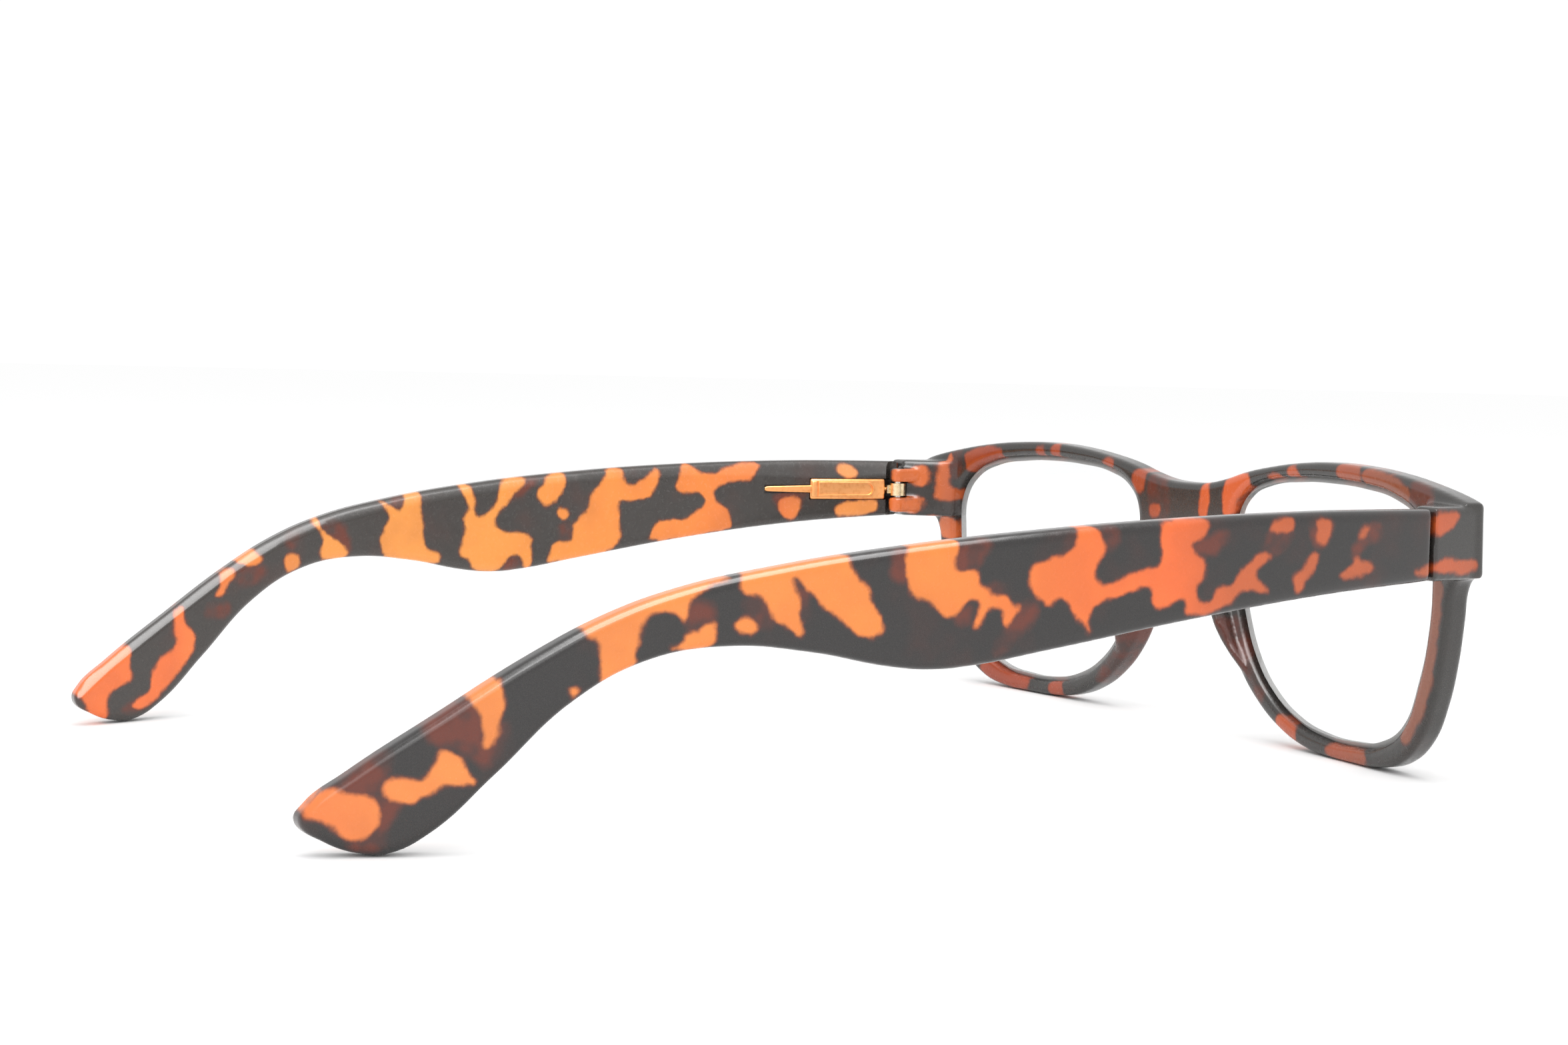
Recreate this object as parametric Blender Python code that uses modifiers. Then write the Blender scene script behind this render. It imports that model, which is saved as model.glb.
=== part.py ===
"""Folding reading glasses with spring hinges.

Metres, +Z up. +X is the wearer's left, the front faces -Y and the temples run towards +Y.
The glasses stand open on their rim bottoms and temple tips, at Z = 0.
Profiles are written in millimetres and scaled by MM.
"""
import math

import bmesh
import bpy
from mathutils import Matrix, Vector

MM = 0.001

# Lengths along Y and heights are measured from the top corner of the gap between the front and a
# temple. The gap lies GAP_TO_CENTRE ahead of the middle of the open glasses, where the origin is.
GAP_TOP_HEIGHT = 37.4
GAP_TO_CENTRE = 64.395

# Front frame
FRONT_THICKNESS = 4.0
FRONT_MIDDLE_Y = -13.8
FRONT_WRAP = 6.1            # how far the front curves back, at WRAP_REACH from the middle
WRAP_REACH = 70.0
FRONT_TILT = 0.03           # how far the front leans forward towards its foot, per unit of height
FRONT_EDGE_ROUND = 0.9
END_PIECE_TOP = 0.4
END_PIECE_BOTTOM = -9.25
BUTT_GAP = 0.3              # between the front's end piece and the temple's end

# Lenses
LENS_THICKNESS = 2.0
LENS_BEVEL = 0.9            # the lens edge is a V as deep as this
LENS_GROOVE_HOLD = 0.5      # how far the V reaches into the rim
GROOVE_CLEARANCE = 0.3

# Temples
TEMPLE_THICKNESS = 3.8
TEMPLE_EDGE_ROUND = 1.0
TEMPLE_HALF_SPAN = 68.0     # outer face at the gap, from the middle of the glasses
TEMPLE_SPLAY = 12.5         # outward slope and inward curve of a temple, per 100 mm and per 100 mm squared
TEMPLE_CURVE = -15.7

# Hinges: the screw's axis, and the direction that the temple leaves it in
HINGE_X = 63.7
HINGE_Y = 1.0
HINGE_SPLAY_DEG = 5.5
LUG_RADIUS = 1.5
LUG_REACH = 4.6             # from the screw's axis forward into the end piece
UPPER_LUG = (-3.35, -1.1)
LOWER_LUG = (-8.6, -6.05)
EYE_RADIUS = 1.4
EYE_HEIGHTS = (-5.75, -3.65)
EYE_CLEARANCE_RADIUS = 1.75
KNUCKLE_CLEARANCE_RADIUS = 1.85
SCREW_RADIUS = 0.6
SCREW_HOLE_RADIUS = 0.68
SCREW_HEAD_RADIUS = 1.0
SCREW_HEAD_HEIGHT = 0.5
HEAD_CLEARANCE = 0.1
DRIVER_SLOT = (2.4, 0.25, 0.25)

# Spring box, in the hinge's own frame: X outward, Y along the temple
BOX_X = (0.3, 2.7)
BOX_Y = (2.2, 16.3)
BOX_HEIGHTS = (-6.45, -2.95)
BOX_TAIL_LENGTH = 8.5
BOX_TAIL_SIZE = (0.9, 1.3)
POCKET_CLEARANCE = 0.2
BOX_FRONT_WALL = 1.0
BOX_REAR_WALL = 1.0
CHANNEL_RADIUS = 0.85
SHANK_RADIUS = 0.4
SHANK_HOLE_RADIUS = 0.5
SHANK_END_Y = 12.6
STOP_RADIUS = 0.72
STOP_Y = (11.6, 12.4)
STOP_BORE_RADIUS = 0.46
SPRING_COIL_RADIUS = 0.64
SPRING_WIRE_RADIUS = 0.1
SPRING_TURNS = 7
SPRING_Y = (3.4, 11.45)
OBLONG_Y = (3.6, 14.4)
OBLONG_HEIGHT = 2.0
OBLONG_DEPTH = 0.15

SHANK_X = (BOX_X[0] + BOX_X[1]) / 2
SHANK_HEIGHT = (BOX_HEIGHTS[0] + BOX_HEIGHTS[1]) / 2

# Outlines as (along, height), with a third value for a corner that isn't rounded over
FRONT_TOP = [
    (0.0, 0.0), (5.0, 0.2), (9.5, 1.0), (14.5, 2.3), (20.0, 3.3), (27.0, 4.2), (34.5, 4.65),
    (42.0, 4.5), (50.0, 3.85), (58.0, 2.65), (64.5, 1.3), (66.4, 0.75, "corner"),
]
FRONT_SIDE = [
    (66.4, -9.1, "corner"), (64.6, -9.5), (63.5, -11.0), (62.8, -15.0), (61.6, -21.0),
    (59.6, -27.0), (56.6, -32.2), (51.8, -35.8), (46.0, -37.2),
]
RIM_FOOT = [(41.0, -37.4, "corner"), (35.0, -37.4, "corner")]
FRONT_NOSE = [
    (29.5, -36.8), (23.5, -34.8), (18.3, -31.6), (14.2, -27.6), (11.2, -23.0), (9.2, -18.0),
    (7.6, -13.0), (5.0, -9.0), (0.0, -7.5),
]
LENS_OPENING = [
    (11.9, -4.2), (14.5, -0.7), (19.5, 1.3), (27.0, 2.2), (35.0, 2.4), (43.0, 2.05),
    (50.0, 1.0), (55.6, -1.5), (58.7, -5.6), (59.2, -11.0), (58.5, -17.5), (56.6, -24.0),
    (52.9, -31.0), (47.3, -34.2), (41.0, -35.1), (34.0, -35.0), (27.2, -33.6), (21.2, -30.4),
    (16.8, -25.8), (13.8, -19.5), (12.2, -12.0),
]
TEMPLE_PROFILE = [
    (0.15, 0.1, "corner"), (10.0, 0.15), (20.0, 0.1), (40.0, -0.5), (60.0, -1.75), (80.0, -3.75),
    (95.0, -6.05), (105.0, -8.3), (113.0, -11.25), (121.0, -15.6), (131.0, -22.2), (140.0, -28.4),
    (144.4, -32.0), (145.1, -33.7), (142.5, -35.85), (138.5, -37.2), (136.0, -37.2), (131.8, -35.1),
    (125.0, -28.7), (117.0, -20.85), (109.0, -16.35), (100.0, -14.8), (90.0, -15.6), (80.5, -17.4),
    (75.5, -17.85), (70.0, -17.5), (60.0, -15.95), (40.0, -12.85), (20.0, -10.5), (0.15, -9.15, "corner"),
]

PAD_CENTRE = (11.8, -11.9, -20.0)
PAD_RADII = (1.6, 3.2, 7.0)
PAD_TURN_DEG = 32
PAD_LEAN_DEG = 22

COLOURS = {
    "front_frame": ((0.36, 0.13, 0.06), 0.3, 0.0),
    "lens": ((0.92, 0.95, 0.97), 0.03, 0.0),
    "temple": ((0.75, 0.25, 0.09), 0.3, 0.0),
    "spring_box": ((0.72, 0.45, 0.2), 0.35, 0.8),
    "hinge_eye": ((0.8, 0.66, 0.42), 0.3, 1.0),
    "hinge_spring": ((0.6, 0.6, 0.6), 0.3, 1.0),
    "stop_nut": ((0.7, 0.58, 0.36), 0.35, 1.0),
    "hinge_screw": ((0.75, 0.7, 0.6), 0.3, 1.0),
}


# ------------------------------------------------------------------ scene helpers

def clear_scene():
    """Remove every object of the open scene."""
    for old in list(bpy.data.objects):
        bpy.data.objects.remove(old, do_unlink=True)


def new_collection(name):
    """A collection linked to the scene."""
    made = bpy.data.collections.new(name)
    bpy.context.scene.collection.children.link(made)
    return made


def new_object(name, data, collection):
    """An object holding data, linked to collection."""
    made = bpy.data.objects.new(name, data)
    collection.objects.link(made)
    return made


def material_for(name):
    """The Principled material of one piece, with the look of its kind."""
    kind = name.replace("_left", "").replace("_right", "")
    colour, roughness, metallic = COLOURS[kind]
    made = bpy.data.materials.new(name)
    made.use_nodes = True
    shader = made.node_tree.nodes["Principled BSDF"]
    shader.inputs["Base Color"].default_value = (*colour, 1.0)
    shader.inputs["Roughness"].default_value = roughness
    shader.inputs["Metallic"].default_value = metallic
    made.diffuse_color = (*colour, 1.0)
    return made


def evaluated_mesh(source):
    """A welded mesh of the object's evaluated shape, in its own axes."""
    bpy.context.view_layer.update()
    graph = bpy.context.evaluated_depsgraph_get()
    mesh = bpy.data.meshes.new_from_object(source.evaluated_get(graph))
    welded = bmesh.new()
    welded.from_mesh(mesh)
    bmesh.ops.remove_doubles(welded, verts=welded.verts, dist=0.002 * MM)
    bmesh.ops.recalc_face_normals(welded, faces=welded.faces)
    welded.to_mesh(mesh)
    welded.free()
    return mesh


def finish(piece):
    """Apply the piece's modifiers, shade it smooth and give it its material."""
    applied = evaluated_mesh(piece)
    piece.modifiers.clear()
    piece.data = applied
    piece.data.shade_smooth()
    piece.data.set_sharp_from_angle(angle=math.radians(35))
    piece.data.materials.clear()
    piece.data.materials.append(material_for(piece.name))


def combine(target, other, operation, solver="EXACT"):
    """Join other to target, or cut it away, with a Boolean."""
    modifier = target.modifiers.new(f"{operation.lower()}_{other.name}", "BOOLEAN")
    modifier.operation = operation
    modifier.solver = solver
    modifier.object = other


def helper(name, mesh):
    """A cutter, or a piece that is joined to another."""
    made = new_object(name, mesh, cutters)
    made.display_type = "WIRE"
    made.hide_render = True
    return made


# ------------------------------------------------------------------ shape helpers

def outline_mesh(name, outlines, thickness, edge_round, steps, round_steps=2, grow=0.0):
    """A flat plate with rounded edges, from closed outlines in millimetres.

    Points with a third value are corners. The plate lies in XY and is centred on Z = 0.
    """
    curve = bpy.data.curves.new(name, "CURVE")
    curve.dimensions = "2D"
    curve.fill_mode = "BOTH"
    curve.resolution_u = steps
    curve.render_resolution_u = 0
    curve.extrude = (thickness / 2 - edge_round) * MM
    curve.bevel_depth = edge_round * MM
    curve.bevel_resolution = round_steps - 1
    curve.offset = (grow - edge_round) * MM
    for outline in outlines:
        spline = curve.splines.new("BEZIER")
        spline.bezier_points.add(len(outline) - 1)
        spline.use_cyclic_u = True
        for point, place in zip(spline.bezier_points, outline):
            point.co = (place[0] * MM, place[1] * MM, 0.0)
            handle = "VECTOR" if len(place) > 2 else "AUTO"
            point.handle_left_type = handle
            point.handle_right_type = handle
    holder = new_object(name, curve, cutters)
    mesh = evaluated_mesh(holder)
    bpy.data.objects.remove(holder)
    bpy.data.curves.remove(curve)
    mesh.name = name
    return mesh


def box_mesh(name, x, y, z):
    """A box between pairs of millimetre limits."""
    shape = bmesh.new()
    bmesh.ops.create_cube(shape, size=1.0)
    sizes = [(high - low) * MM for low, high in (x, y, z)]
    centre = [(high + low) / 2 * MM for low, high in (x, y, z)]
    bmesh.ops.transform(shape, matrix=Matrix.Translation(centre) @ Matrix.Diagonal((*sizes, 1)),
                        verts=shape.verts)
    mesh = bpy.data.meshes.new(name)
    shape.to_mesh(mesh)
    shape.free()
    return mesh


def rod_mesh(name, radius, start, end, along, centre=(0.0, 0.0), segments=32, end_radius=None):
    """A cylinder or cone, in millimetres, along Y or Z between start and end."""
    shape = bmesh.new()
    last = radius if end_radius is None else end_radius
    bmesh.ops.create_cone(shape, cap_ends=True, segments=segments, radius1=radius * MM,
                          radius2=last * MM, depth=(end - start) * MM)
    middle = (start + end) / 2
    if along == "Y":
        place = (Matrix.Translation((centre[0] * MM, middle * MM, centre[1] * MM))
                 @ Matrix.Rotation(-math.pi / 2, 4, "X"))
    else:
        place = Matrix.Translation((centre[0] * MM, centre[1] * MM, middle * MM))
    bmesh.ops.transform(shape, matrix=place, verts=shape.verts)
    mesh = bpy.data.meshes.new(name)
    shape.to_mesh(mesh)
    shape.free()
    return mesh


def round_box_edges(mesh, radius, segments=2):
    """Round every sharp edge of a mesh."""
    shape = bmesh.new()
    shape.from_mesh(mesh)
    bmesh.ops.bevel(shape, geom=list(shape.edges), offset=radius * MM, segments=segments,
                    profile=0.5, affect="EDGES", clamp_overlap=True)
    shape.to_mesh(mesh)
    shape.free()
    return mesh


def move_points(mesh, rule):
    """Move every vertex by a rule that takes and gives millimetres."""
    for vertex in mesh.vertices:
        x, y, z = rule(*(vertex.co / MM))
        vertex.co = Vector((x, y, z)) * MM
    mesh.update()
    return mesh


def heights(span):
    """Heights above the surface, from heights below the gap's top corner."""
    return tuple(height + GAP_TOP_HEIGHT for height in span)


# ------------------------------------------------------------------ front frame and lenses

def front_wrap(x):
    """How far the front is set back at x by its face curve."""
    return FRONT_WRAP * (x / WRAP_REACH) ** 2


def onto_front(x, y, z):
    """From a flat plate in XY to its place in the curved front."""
    return x, FRONT_MIDDLE_Y + front_wrap(x) + FRONT_TILT * y - z, y + GAP_TOP_HEIGHT


def v_plate(name, grow):
    """A plate with a V edge that follows the left rim's opening, curved like the front."""
    flat = outline_mesh(name, [LENS_OPENING], LENS_THICKNESS, LENS_BEVEL, steps=4, round_steps=1,
                        grow=grow)
    return move_points(flat, onto_front)


def end_piece():
    """The block that runs back from the left rim to the temple."""
    plan = [
        (58.5, -9.4, "corner"), (66.25, -9.4, "corner"),
        (TEMPLE_HALF_SPAN, -BUTT_GAP / 2, "corner"), (64.0, -BUTT_GAP / 2, "corner"),
        (61.9, -3.0), (59.8, -6.0), (58.5, -7.2, "corner"),
    ]
    low, high = heights((END_PIECE_BOTTOM, END_PIECE_TOP))
    block = outline_mesh("end_piece", [plan], high - low, 0.7, steps=4)
    return move_points(block, lambda x, y, z: (x, y, z + (high + low) / 2))


def lug(span):
    """One hinge lug: a plate that is round about the screw's axis and runs into the end piece."""
    round_end = []
    for step in range(13):
        turn = math.pi * step / 12
        round_end.append((HINGE_X + LUG_RADIUS * math.cos(turn),
                          HINGE_Y + LUG_RADIUS * math.sin(turn), "corner"))
    plan = round_end + [(HINGE_X - LUG_RADIUS, HINGE_Y - LUG_REACH, "corner"),
                        (HINGE_X + LUG_RADIUS, HINGE_Y - LUG_REACH, "corner")]
    low, high = heights(span)
    plate = outline_mesh("lug", [plan], high - low, 0.25, steps=1, round_steps=1)
    return move_points(plate, lambda x, y, z: (x, y, z + (high + low) / 2))


def nose_pad():
    """A moulded pad that stands back from the nose side of the left rim."""
    shape = bmesh.new()
    bmesh.ops.create_uvsphere(shape, u_segments=20, v_segments=12, radius=1.0)
    turn = Matrix.Rotation(math.radians(-PAD_TURN_DEG), 4, "Z")
    lean = Matrix.Rotation(math.radians(-PAD_LEAN_DEG), 4, "Y")
    centre = Vector((PAD_CENTRE[0], PAD_CENTRE[1], PAD_CENTRE[2] + GAP_TOP_HEIGHT)) * MM
    place = Matrix.Translation(centre) @ lean @ turn @ Matrix.Diagonal((*[r * MM for r in PAD_RADII], 1))
    bmesh.ops.transform(shape, matrix=place, verts=shape.verts)
    mesh = bpy.data.meshes.new("nose_pad")
    shape.to_mesh(mesh)
    shape.free()
    return mesh


def axis_cutter(name, radius, span):
    """A cutter round the left screw's axis."""
    return helper(name, rod_mesh(name, radius, *heights(span), "Z", (HINGE_X, HINGE_Y)))


def open_at_middle(piece):
    """Apply the piece's modifiers and cut it off at the middle of the glasses, left open there."""
    applied = evaluated_mesh(piece)
    piece.modifiers.clear()
    half = bmesh.new()
    half.from_mesh(applied)
    bmesh.ops.bisect_plane(half, geom=[*half.verts, *half.edges, *half.faces], plane_co=(0, 0, 0),
                           plane_no=(1, 0, 0), clear_inner=True)
    half.to_mesh(applied)
    half.free()
    piece.data = applied


def front_frame():
    """Both rims, the bridge, the end pieces, the nose pads and the hinge lugs, as one piece."""
    half_outline = [(-5.0, 0.5, "corner")] + FRONT_TOP + FRONT_SIDE + RIM_FOOT + FRONT_NOSE
    half_outline.append((-5.0, -9.0, "corner"))
    plate = outline_mesh("front_frame", [half_outline, LENS_OPENING], FRONT_THICKNESS,
                         FRONT_EDGE_ROUND, steps=3)
    frame = new_object("front_frame", move_points(plate, onto_front), glasses)
    seat_floor = UPPER_LUG[1] - SCREW_HEAD_HEIGHT - HEAD_CLEARANCE
    steps = (
        (helper("end_piece", end_piece()), "UNION"),
        (axis_cutter("eye_clearance", EYE_CLEARANCE_RADIUS, (LOWER_LUG[1], UPPER_LUG[0])), "DIFFERENCE"),
        (helper("upper_lug", lug(UPPER_LUG)), "UNION"),
        (helper("lower_lug", lug(LOWER_LUG)), "UNION"),
        (axis_cutter("screw_hole", SCREW_HOLE_RADIUS, (LOWER_LUG[0] - 1, UPPER_LUG[1] + 1)), "DIFFERENCE"),
        (axis_cutter("screw_head_seat", SCREW_HEAD_RADIUS + HEAD_CLEARANCE, (seat_floor, UPPER_LUG[1] + 1)),
         "DIFFERENCE"),
        (helper("nose_pad", nose_pad()), "UNION"),
        (helper("lens_groove", v_plate("lens_groove", LENS_GROOVE_HOLD + GROOVE_CLEARANCE)), "DIFFERENCE"),
    )
    for other, operation in steps:
        combine(frame, other, operation, solver="MANIFOLD")
    open_at_middle(frame)
    mirror = frame.modifiers.new("other_half", "MIRROR")
    mirror.merge_threshold = 0.01 * MM
    finish(frame)


def lens_left():
    """A curved lens with a V edge that sits in the rim's groove."""
    piece = new_object("lens_left", v_plate("lens_left", LENS_GROOVE_HOLD), glasses)
    finish(piece)
    return piece


# ------------------------------------------------------------------ temples and hinges

def temple_outer_x(y):
    """The temple's outer face, from the middle of the glasses."""
    reach = y / 100
    return TEMPLE_HALF_SPAN + TEMPLE_SPLAY * reach + TEMPLE_CURVE * reach ** 2


def onto_temple(x, y, z):
    """From a flat plate in XY to its place in the left temple."""
    return temple_outer_x(x) - TEMPLE_THICKNESS / 2 + z, x, y + GAP_TOP_HEIGHT


def hinge_frame():
    """The left hinge's own frame: on the screw's axis, Y along the temple."""
    axis_point = Vector((HINGE_X, HINGE_Y, 0.0)) * MM
    return Matrix.Translation(axis_point) @ Matrix.Rotation(-math.radians(HINGE_SPLAY_DEG), 4, "Z")


def temple_left():
    """The left temple, with the pocket for its spring box and the room for the hinge lugs."""
    flat = outline_mesh("temple_left", [TEMPLE_PROFILE], TEMPLE_THICKNESS, TEMPLE_EDGE_ROUND, steps=4)
    frame = hinge_frame()
    mesh = move_points(flat, onto_temple)
    mesh.transform(frame.inverted())
    piece = new_object("temple_left", mesh, glasses)
    piece.matrix_world = frame
    room = rod_mesh("lug_room", KNUCKLE_CLEARANCE_RADIUS, *heights((-15.0, 3.0)), "Z")
    open_side = (-3.0, BOX_X[1] + POCKET_CLEARANCE)
    pocket = box_mesh("box_pocket", open_side,
                      (-2.0, BOX_Y[1] + POCKET_CLEARANCE),
                      heights((BOX_HEIGHTS[0] - POCKET_CLEARANCE, BOX_HEIGHTS[1] + POCKET_CLEARANCE)))
    tail_room = box_mesh("tail_pocket", (-3.0, BOX_X[0] + BOX_TAIL_SIZE[0] + 2 * POCKET_CLEARANCE),
                         (BOX_Y[1], BOX_Y[1] + BOX_TAIL_LENGTH + 2 * POCKET_CLEARANCE),
                         heights((SHANK_HEIGHT - BOX_TAIL_SIZE[1] / 2 - POCKET_CLEARANCE,
                                  SHANK_HEIGHT + BOX_TAIL_SIZE[1] / 2 + POCKET_CLEARANCE)))
    for name, cutter in (("lug_room", room), ("box_pocket", pocket), ("tail_pocket", tail_room)):
        made = helper(name, cutter)
        made.matrix_world = frame
        combine(piece, made, "DIFFERENCE")
    finish(piece)
    return piece


def spring_box_left():
    """The housing of the hinge spring, with its channel, its oblong recess and its tail."""
    frame = hinge_frame()
    mesh = box_mesh("spring_box_left", BOX_X, BOX_Y, heights(BOX_HEIGHTS))
    piece = new_object("spring_box_left", round_box_edges(mesh, 0.3), glasses)
    piece.matrix_world = frame
    height = SHANK_HEIGHT + GAP_TOP_HEIGHT
    tail = rod_mesh("tail", BOX_TAIL_SIZE[1] / math.sqrt(2), BOX_Y[1] - 0.6, BOX_Y[1] + BOX_TAIL_LENGTH,
                    "Y", segments=4, end_radius=0.12)
    tail.transform(Matrix.Rotation(math.pi / 4, 4, "Y"))
    tail.transform(Matrix.Diagonal((BOX_TAIL_SIZE[0] / BOX_TAIL_SIZE[1], 1, 1, 1)))
    tail.transform(Matrix.Translation(Vector((BOX_X[0] + BOX_TAIL_SIZE[0] / 2 + 0.1, 0, height)) * MM))
    oblong = outline_mesh("oblong", [[
        (OBLONG_Y[0] + OBLONG_HEIGHT / 2, -OBLONG_HEIGHT / 2), (OBLONG_Y[0], 0.0),
        (OBLONG_Y[0] + OBLONG_HEIGHT / 2, OBLONG_HEIGHT / 2), (OBLONG_Y[1], OBLONG_HEIGHT / 2, "corner"),
        (OBLONG_Y[1], -OBLONG_HEIGHT / 2, "corner")]], 2.0, 0.01, steps=6, round_steps=1)
    move_points(oblong, lambda x, y, z: (BOX_X[0] + OBLONG_DEPTH - 1.0 + z, x, y + height))
    channel = rod_mesh("channel", CHANNEL_RADIUS, BOX_Y[0] + BOX_FRONT_WALL, BOX_Y[1] - BOX_REAR_WALL,
                       "Y", (SHANK_X, height), segments=24)
    shank_hole = rod_mesh("shank_hole", SHANK_HOLE_RADIUS, BOX_Y[0] - 1, BOX_Y[0] + BOX_FRONT_WALL + 0.5,
                          "Y", (SHANK_X, height), segments=24)
    steps = (("tail", tail, "UNION"), ("oblong", oblong, "DIFFERENCE"),
             ("channel", channel, "DIFFERENCE"), ("shank_hole", shank_hole, "DIFFERENCE"))
    for name, mesh, operation in steps:
        made = helper(name, mesh)
        made.matrix_world = frame
        combine(piece, made, operation)
    finish(piece)
    return piece


def hinge_eye_left():
    """The eye that turns on the screw, with the shank that slides in the spring box."""
    frame = hinge_frame()
    low, high = heights(EYE_HEIGHTS)
    height = SHANK_HEIGHT + GAP_TOP_HEIGHT
    piece = new_object("hinge_eye_left", rod_mesh("hinge_eye_left", EYE_RADIUS, low, high, "Z"), glasses)
    piece.matrix_world = frame
    neck = box_mesh("neck", (SHANK_X - 1.35, SHANK_X + 0.35), (0.3, BOX_Y[0] - BUTT_GAP),
                    (height - 0.7, height + 0.7))
    shank = rod_mesh("shank", SHANK_RADIUS, 1.0, SHANK_END_Y, "Y", (SHANK_X, height), segments=24)
    bore = rod_mesh("bore", SCREW_HOLE_RADIUS, low - 1, high + 1, "Z")
    for name, mesh, operation in (("neck", neck, "UNION"), ("shank", shank, "UNION"),
                                  ("bore", bore, "DIFFERENCE")):
        made = helper(name, mesh)
        made.matrix_world = frame
        combine(piece, made, operation)
    finish(piece)
    return piece


def stop_nut_left():
    """The nut on the end of the shank, which the spring pushes against."""
    frame = hinge_frame()
    centre = (SHANK_X, SHANK_HEIGHT + GAP_TOP_HEIGHT)
    piece = new_object("stop_nut_left", rod_mesh("stop_nut_left", STOP_RADIUS, *STOP_Y, "Y", centre,
                                                 segments=24), glasses)
    piece.matrix_world = frame
    made = helper("stop_bore", rod_mesh("stop_bore", STOP_BORE_RADIUS, STOP_Y[0] - 1, STOP_Y[1] + 1, "Y",
                                        centre, segments=24))
    made.matrix_world = frame
    combine(piece, made, "DIFFERENCE")
    finish(piece)
    return piece


def hinge_spring_left():
    """The coil spring round the shank, between the box's front wall and the stop nut."""
    frame = hinge_frame()
    curve = bpy.data.curves.new("hinge_spring_left", "CURVE")
    curve.dimensions = "3D"
    curve.bevel_depth = SPRING_WIRE_RADIUS * MM
    curve.bevel_resolution = 0
    curve.use_fill_caps = True
    spline = curve.splines.new("POLY")
    points_per_turn = 12
    count = SPRING_TURNS * points_per_turn + 1
    spline.points.add(count - 1)
    for number, point in enumerate(spline.points):
        turn = 2 * math.pi * number / points_per_turn
        along = SPRING_Y[0] + (SPRING_Y[1] - SPRING_Y[0]) * number / (count - 1)
        point.co = ((SHANK_X + SPRING_COIL_RADIUS * math.cos(turn)) * MM, along * MM,
                    (SHANK_HEIGHT + GAP_TOP_HEIGHT + SPRING_COIL_RADIUS * math.sin(turn)) * MM, 1.0)
    holder = new_object("spring_curve", curve, cutters)
    mesh = evaluated_mesh(holder)
    bpy.data.objects.remove(holder)
    piece = new_object("hinge_spring_left", mesh, glasses)
    piece.matrix_world = frame
    finish(piece)
    return piece


def hinge_screw_left():
    """The screw through the lugs and the eye, with a slotted head let into the upper lug."""
    axis_point = Vector((HINGE_X, HINGE_Y, 0.0)) * MM
    tip, top = heights((LOWER_LUG[0] + 0.2, UPPER_LUG[1]))
    under_head = top - SCREW_HEAD_HEIGHT
    profile = bpy.data.meshes.new("hinge_screw_left")
    points = [(0.0, top), (SCREW_HEAD_RADIUS, top), (SCREW_HEAD_RADIUS, under_head),
              (SCREW_RADIUS, under_head), (SCREW_RADIUS, tip + 0.3), (SCREW_RADIUS - 0.2, tip), (0.0, tip)]
    profile.from_pydata([(x * MM, 0, z * MM) for x, z in points],
                        [(number, number + 1) for number in range(len(points) - 1)], [])
    piece = new_object("hinge_screw_left", profile, glasses)
    piece.location = axis_point
    turned = piece.modifiers.new("turned", "SCREW")
    turned.steps = 32
    turned.render_steps = 32
    turned.use_merge_vertices = True
    turned.merge_threshold = 0.001 * MM
    length, width, depth = DRIVER_SLOT
    slot = helper("driver_slot", box_mesh("driver_slot", (-length / 2, length / 2), (-width / 2, width / 2),
                                          (top - depth, top + depth)))
    slot.location = axis_point
    combine(piece, slot, "DIFFERENCE")
    finish(piece)
    return piece


def mirrored_piece(left):
    """The right-hand twin of a finished left-hand piece."""
    name = left.name.replace("_left", "_right")
    mesh = left.data.copy()
    mesh.transform(Matrix.Diagonal((-1, 1, 1, 1)))
    mesh.flip_normals()
    twin = new_object(name, mesh, glasses)
    twin.location = (-left.location.x, left.location.y, left.location.z)
    twin.rotation_euler = (0.0, 0.0, -left.rotation_euler.z)
    twin.data.materials.clear()
    twin.data.materials.append(material_for(name))
    return twin


def place_on_origin():
    """Parent every piece to an empty that puts the middle of the glasses over the origin."""
    middle = new_object("middle_of_glasses", None, glasses)
    middle.location = (0.0, -GAP_TO_CENTRE * MM, 0.0)
    for piece in glasses.objects:
        if piece != middle:
            piece.parent = middle


clear_scene()
glasses = new_collection("reading_glasses")
cutters = new_collection("cutters")
front_frame()
left_pieces = (lens_left(), temple_left(), spring_box_left(), hinge_eye_left(), stop_nut_left(),
               hinge_spring_left(), hinge_screw_left())
for left_piece in left_pieces:
    mirrored_piece(left_piece)
place_on_origin()
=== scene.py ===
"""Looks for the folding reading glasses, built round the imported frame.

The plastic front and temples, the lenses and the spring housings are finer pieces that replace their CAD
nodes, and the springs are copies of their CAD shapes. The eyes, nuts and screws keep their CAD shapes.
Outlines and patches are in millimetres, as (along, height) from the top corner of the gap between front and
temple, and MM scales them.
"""
import math

import bmesh
import bpy
import numpy as np
from mathutils import Matrix, Vector


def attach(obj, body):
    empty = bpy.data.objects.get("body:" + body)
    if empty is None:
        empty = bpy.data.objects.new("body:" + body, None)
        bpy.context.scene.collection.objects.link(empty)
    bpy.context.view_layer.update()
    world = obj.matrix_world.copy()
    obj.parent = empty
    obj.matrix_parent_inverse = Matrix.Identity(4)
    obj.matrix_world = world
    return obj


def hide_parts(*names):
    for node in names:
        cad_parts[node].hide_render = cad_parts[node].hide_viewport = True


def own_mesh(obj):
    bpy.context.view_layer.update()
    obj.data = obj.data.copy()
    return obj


MM = 0.001

# The gap's top corner in the frame: its height, and its distance ahead of the origin
GAP_TOP_HEIGHT = 37.4
GAP_TO_CENTRE = 64.395

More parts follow.
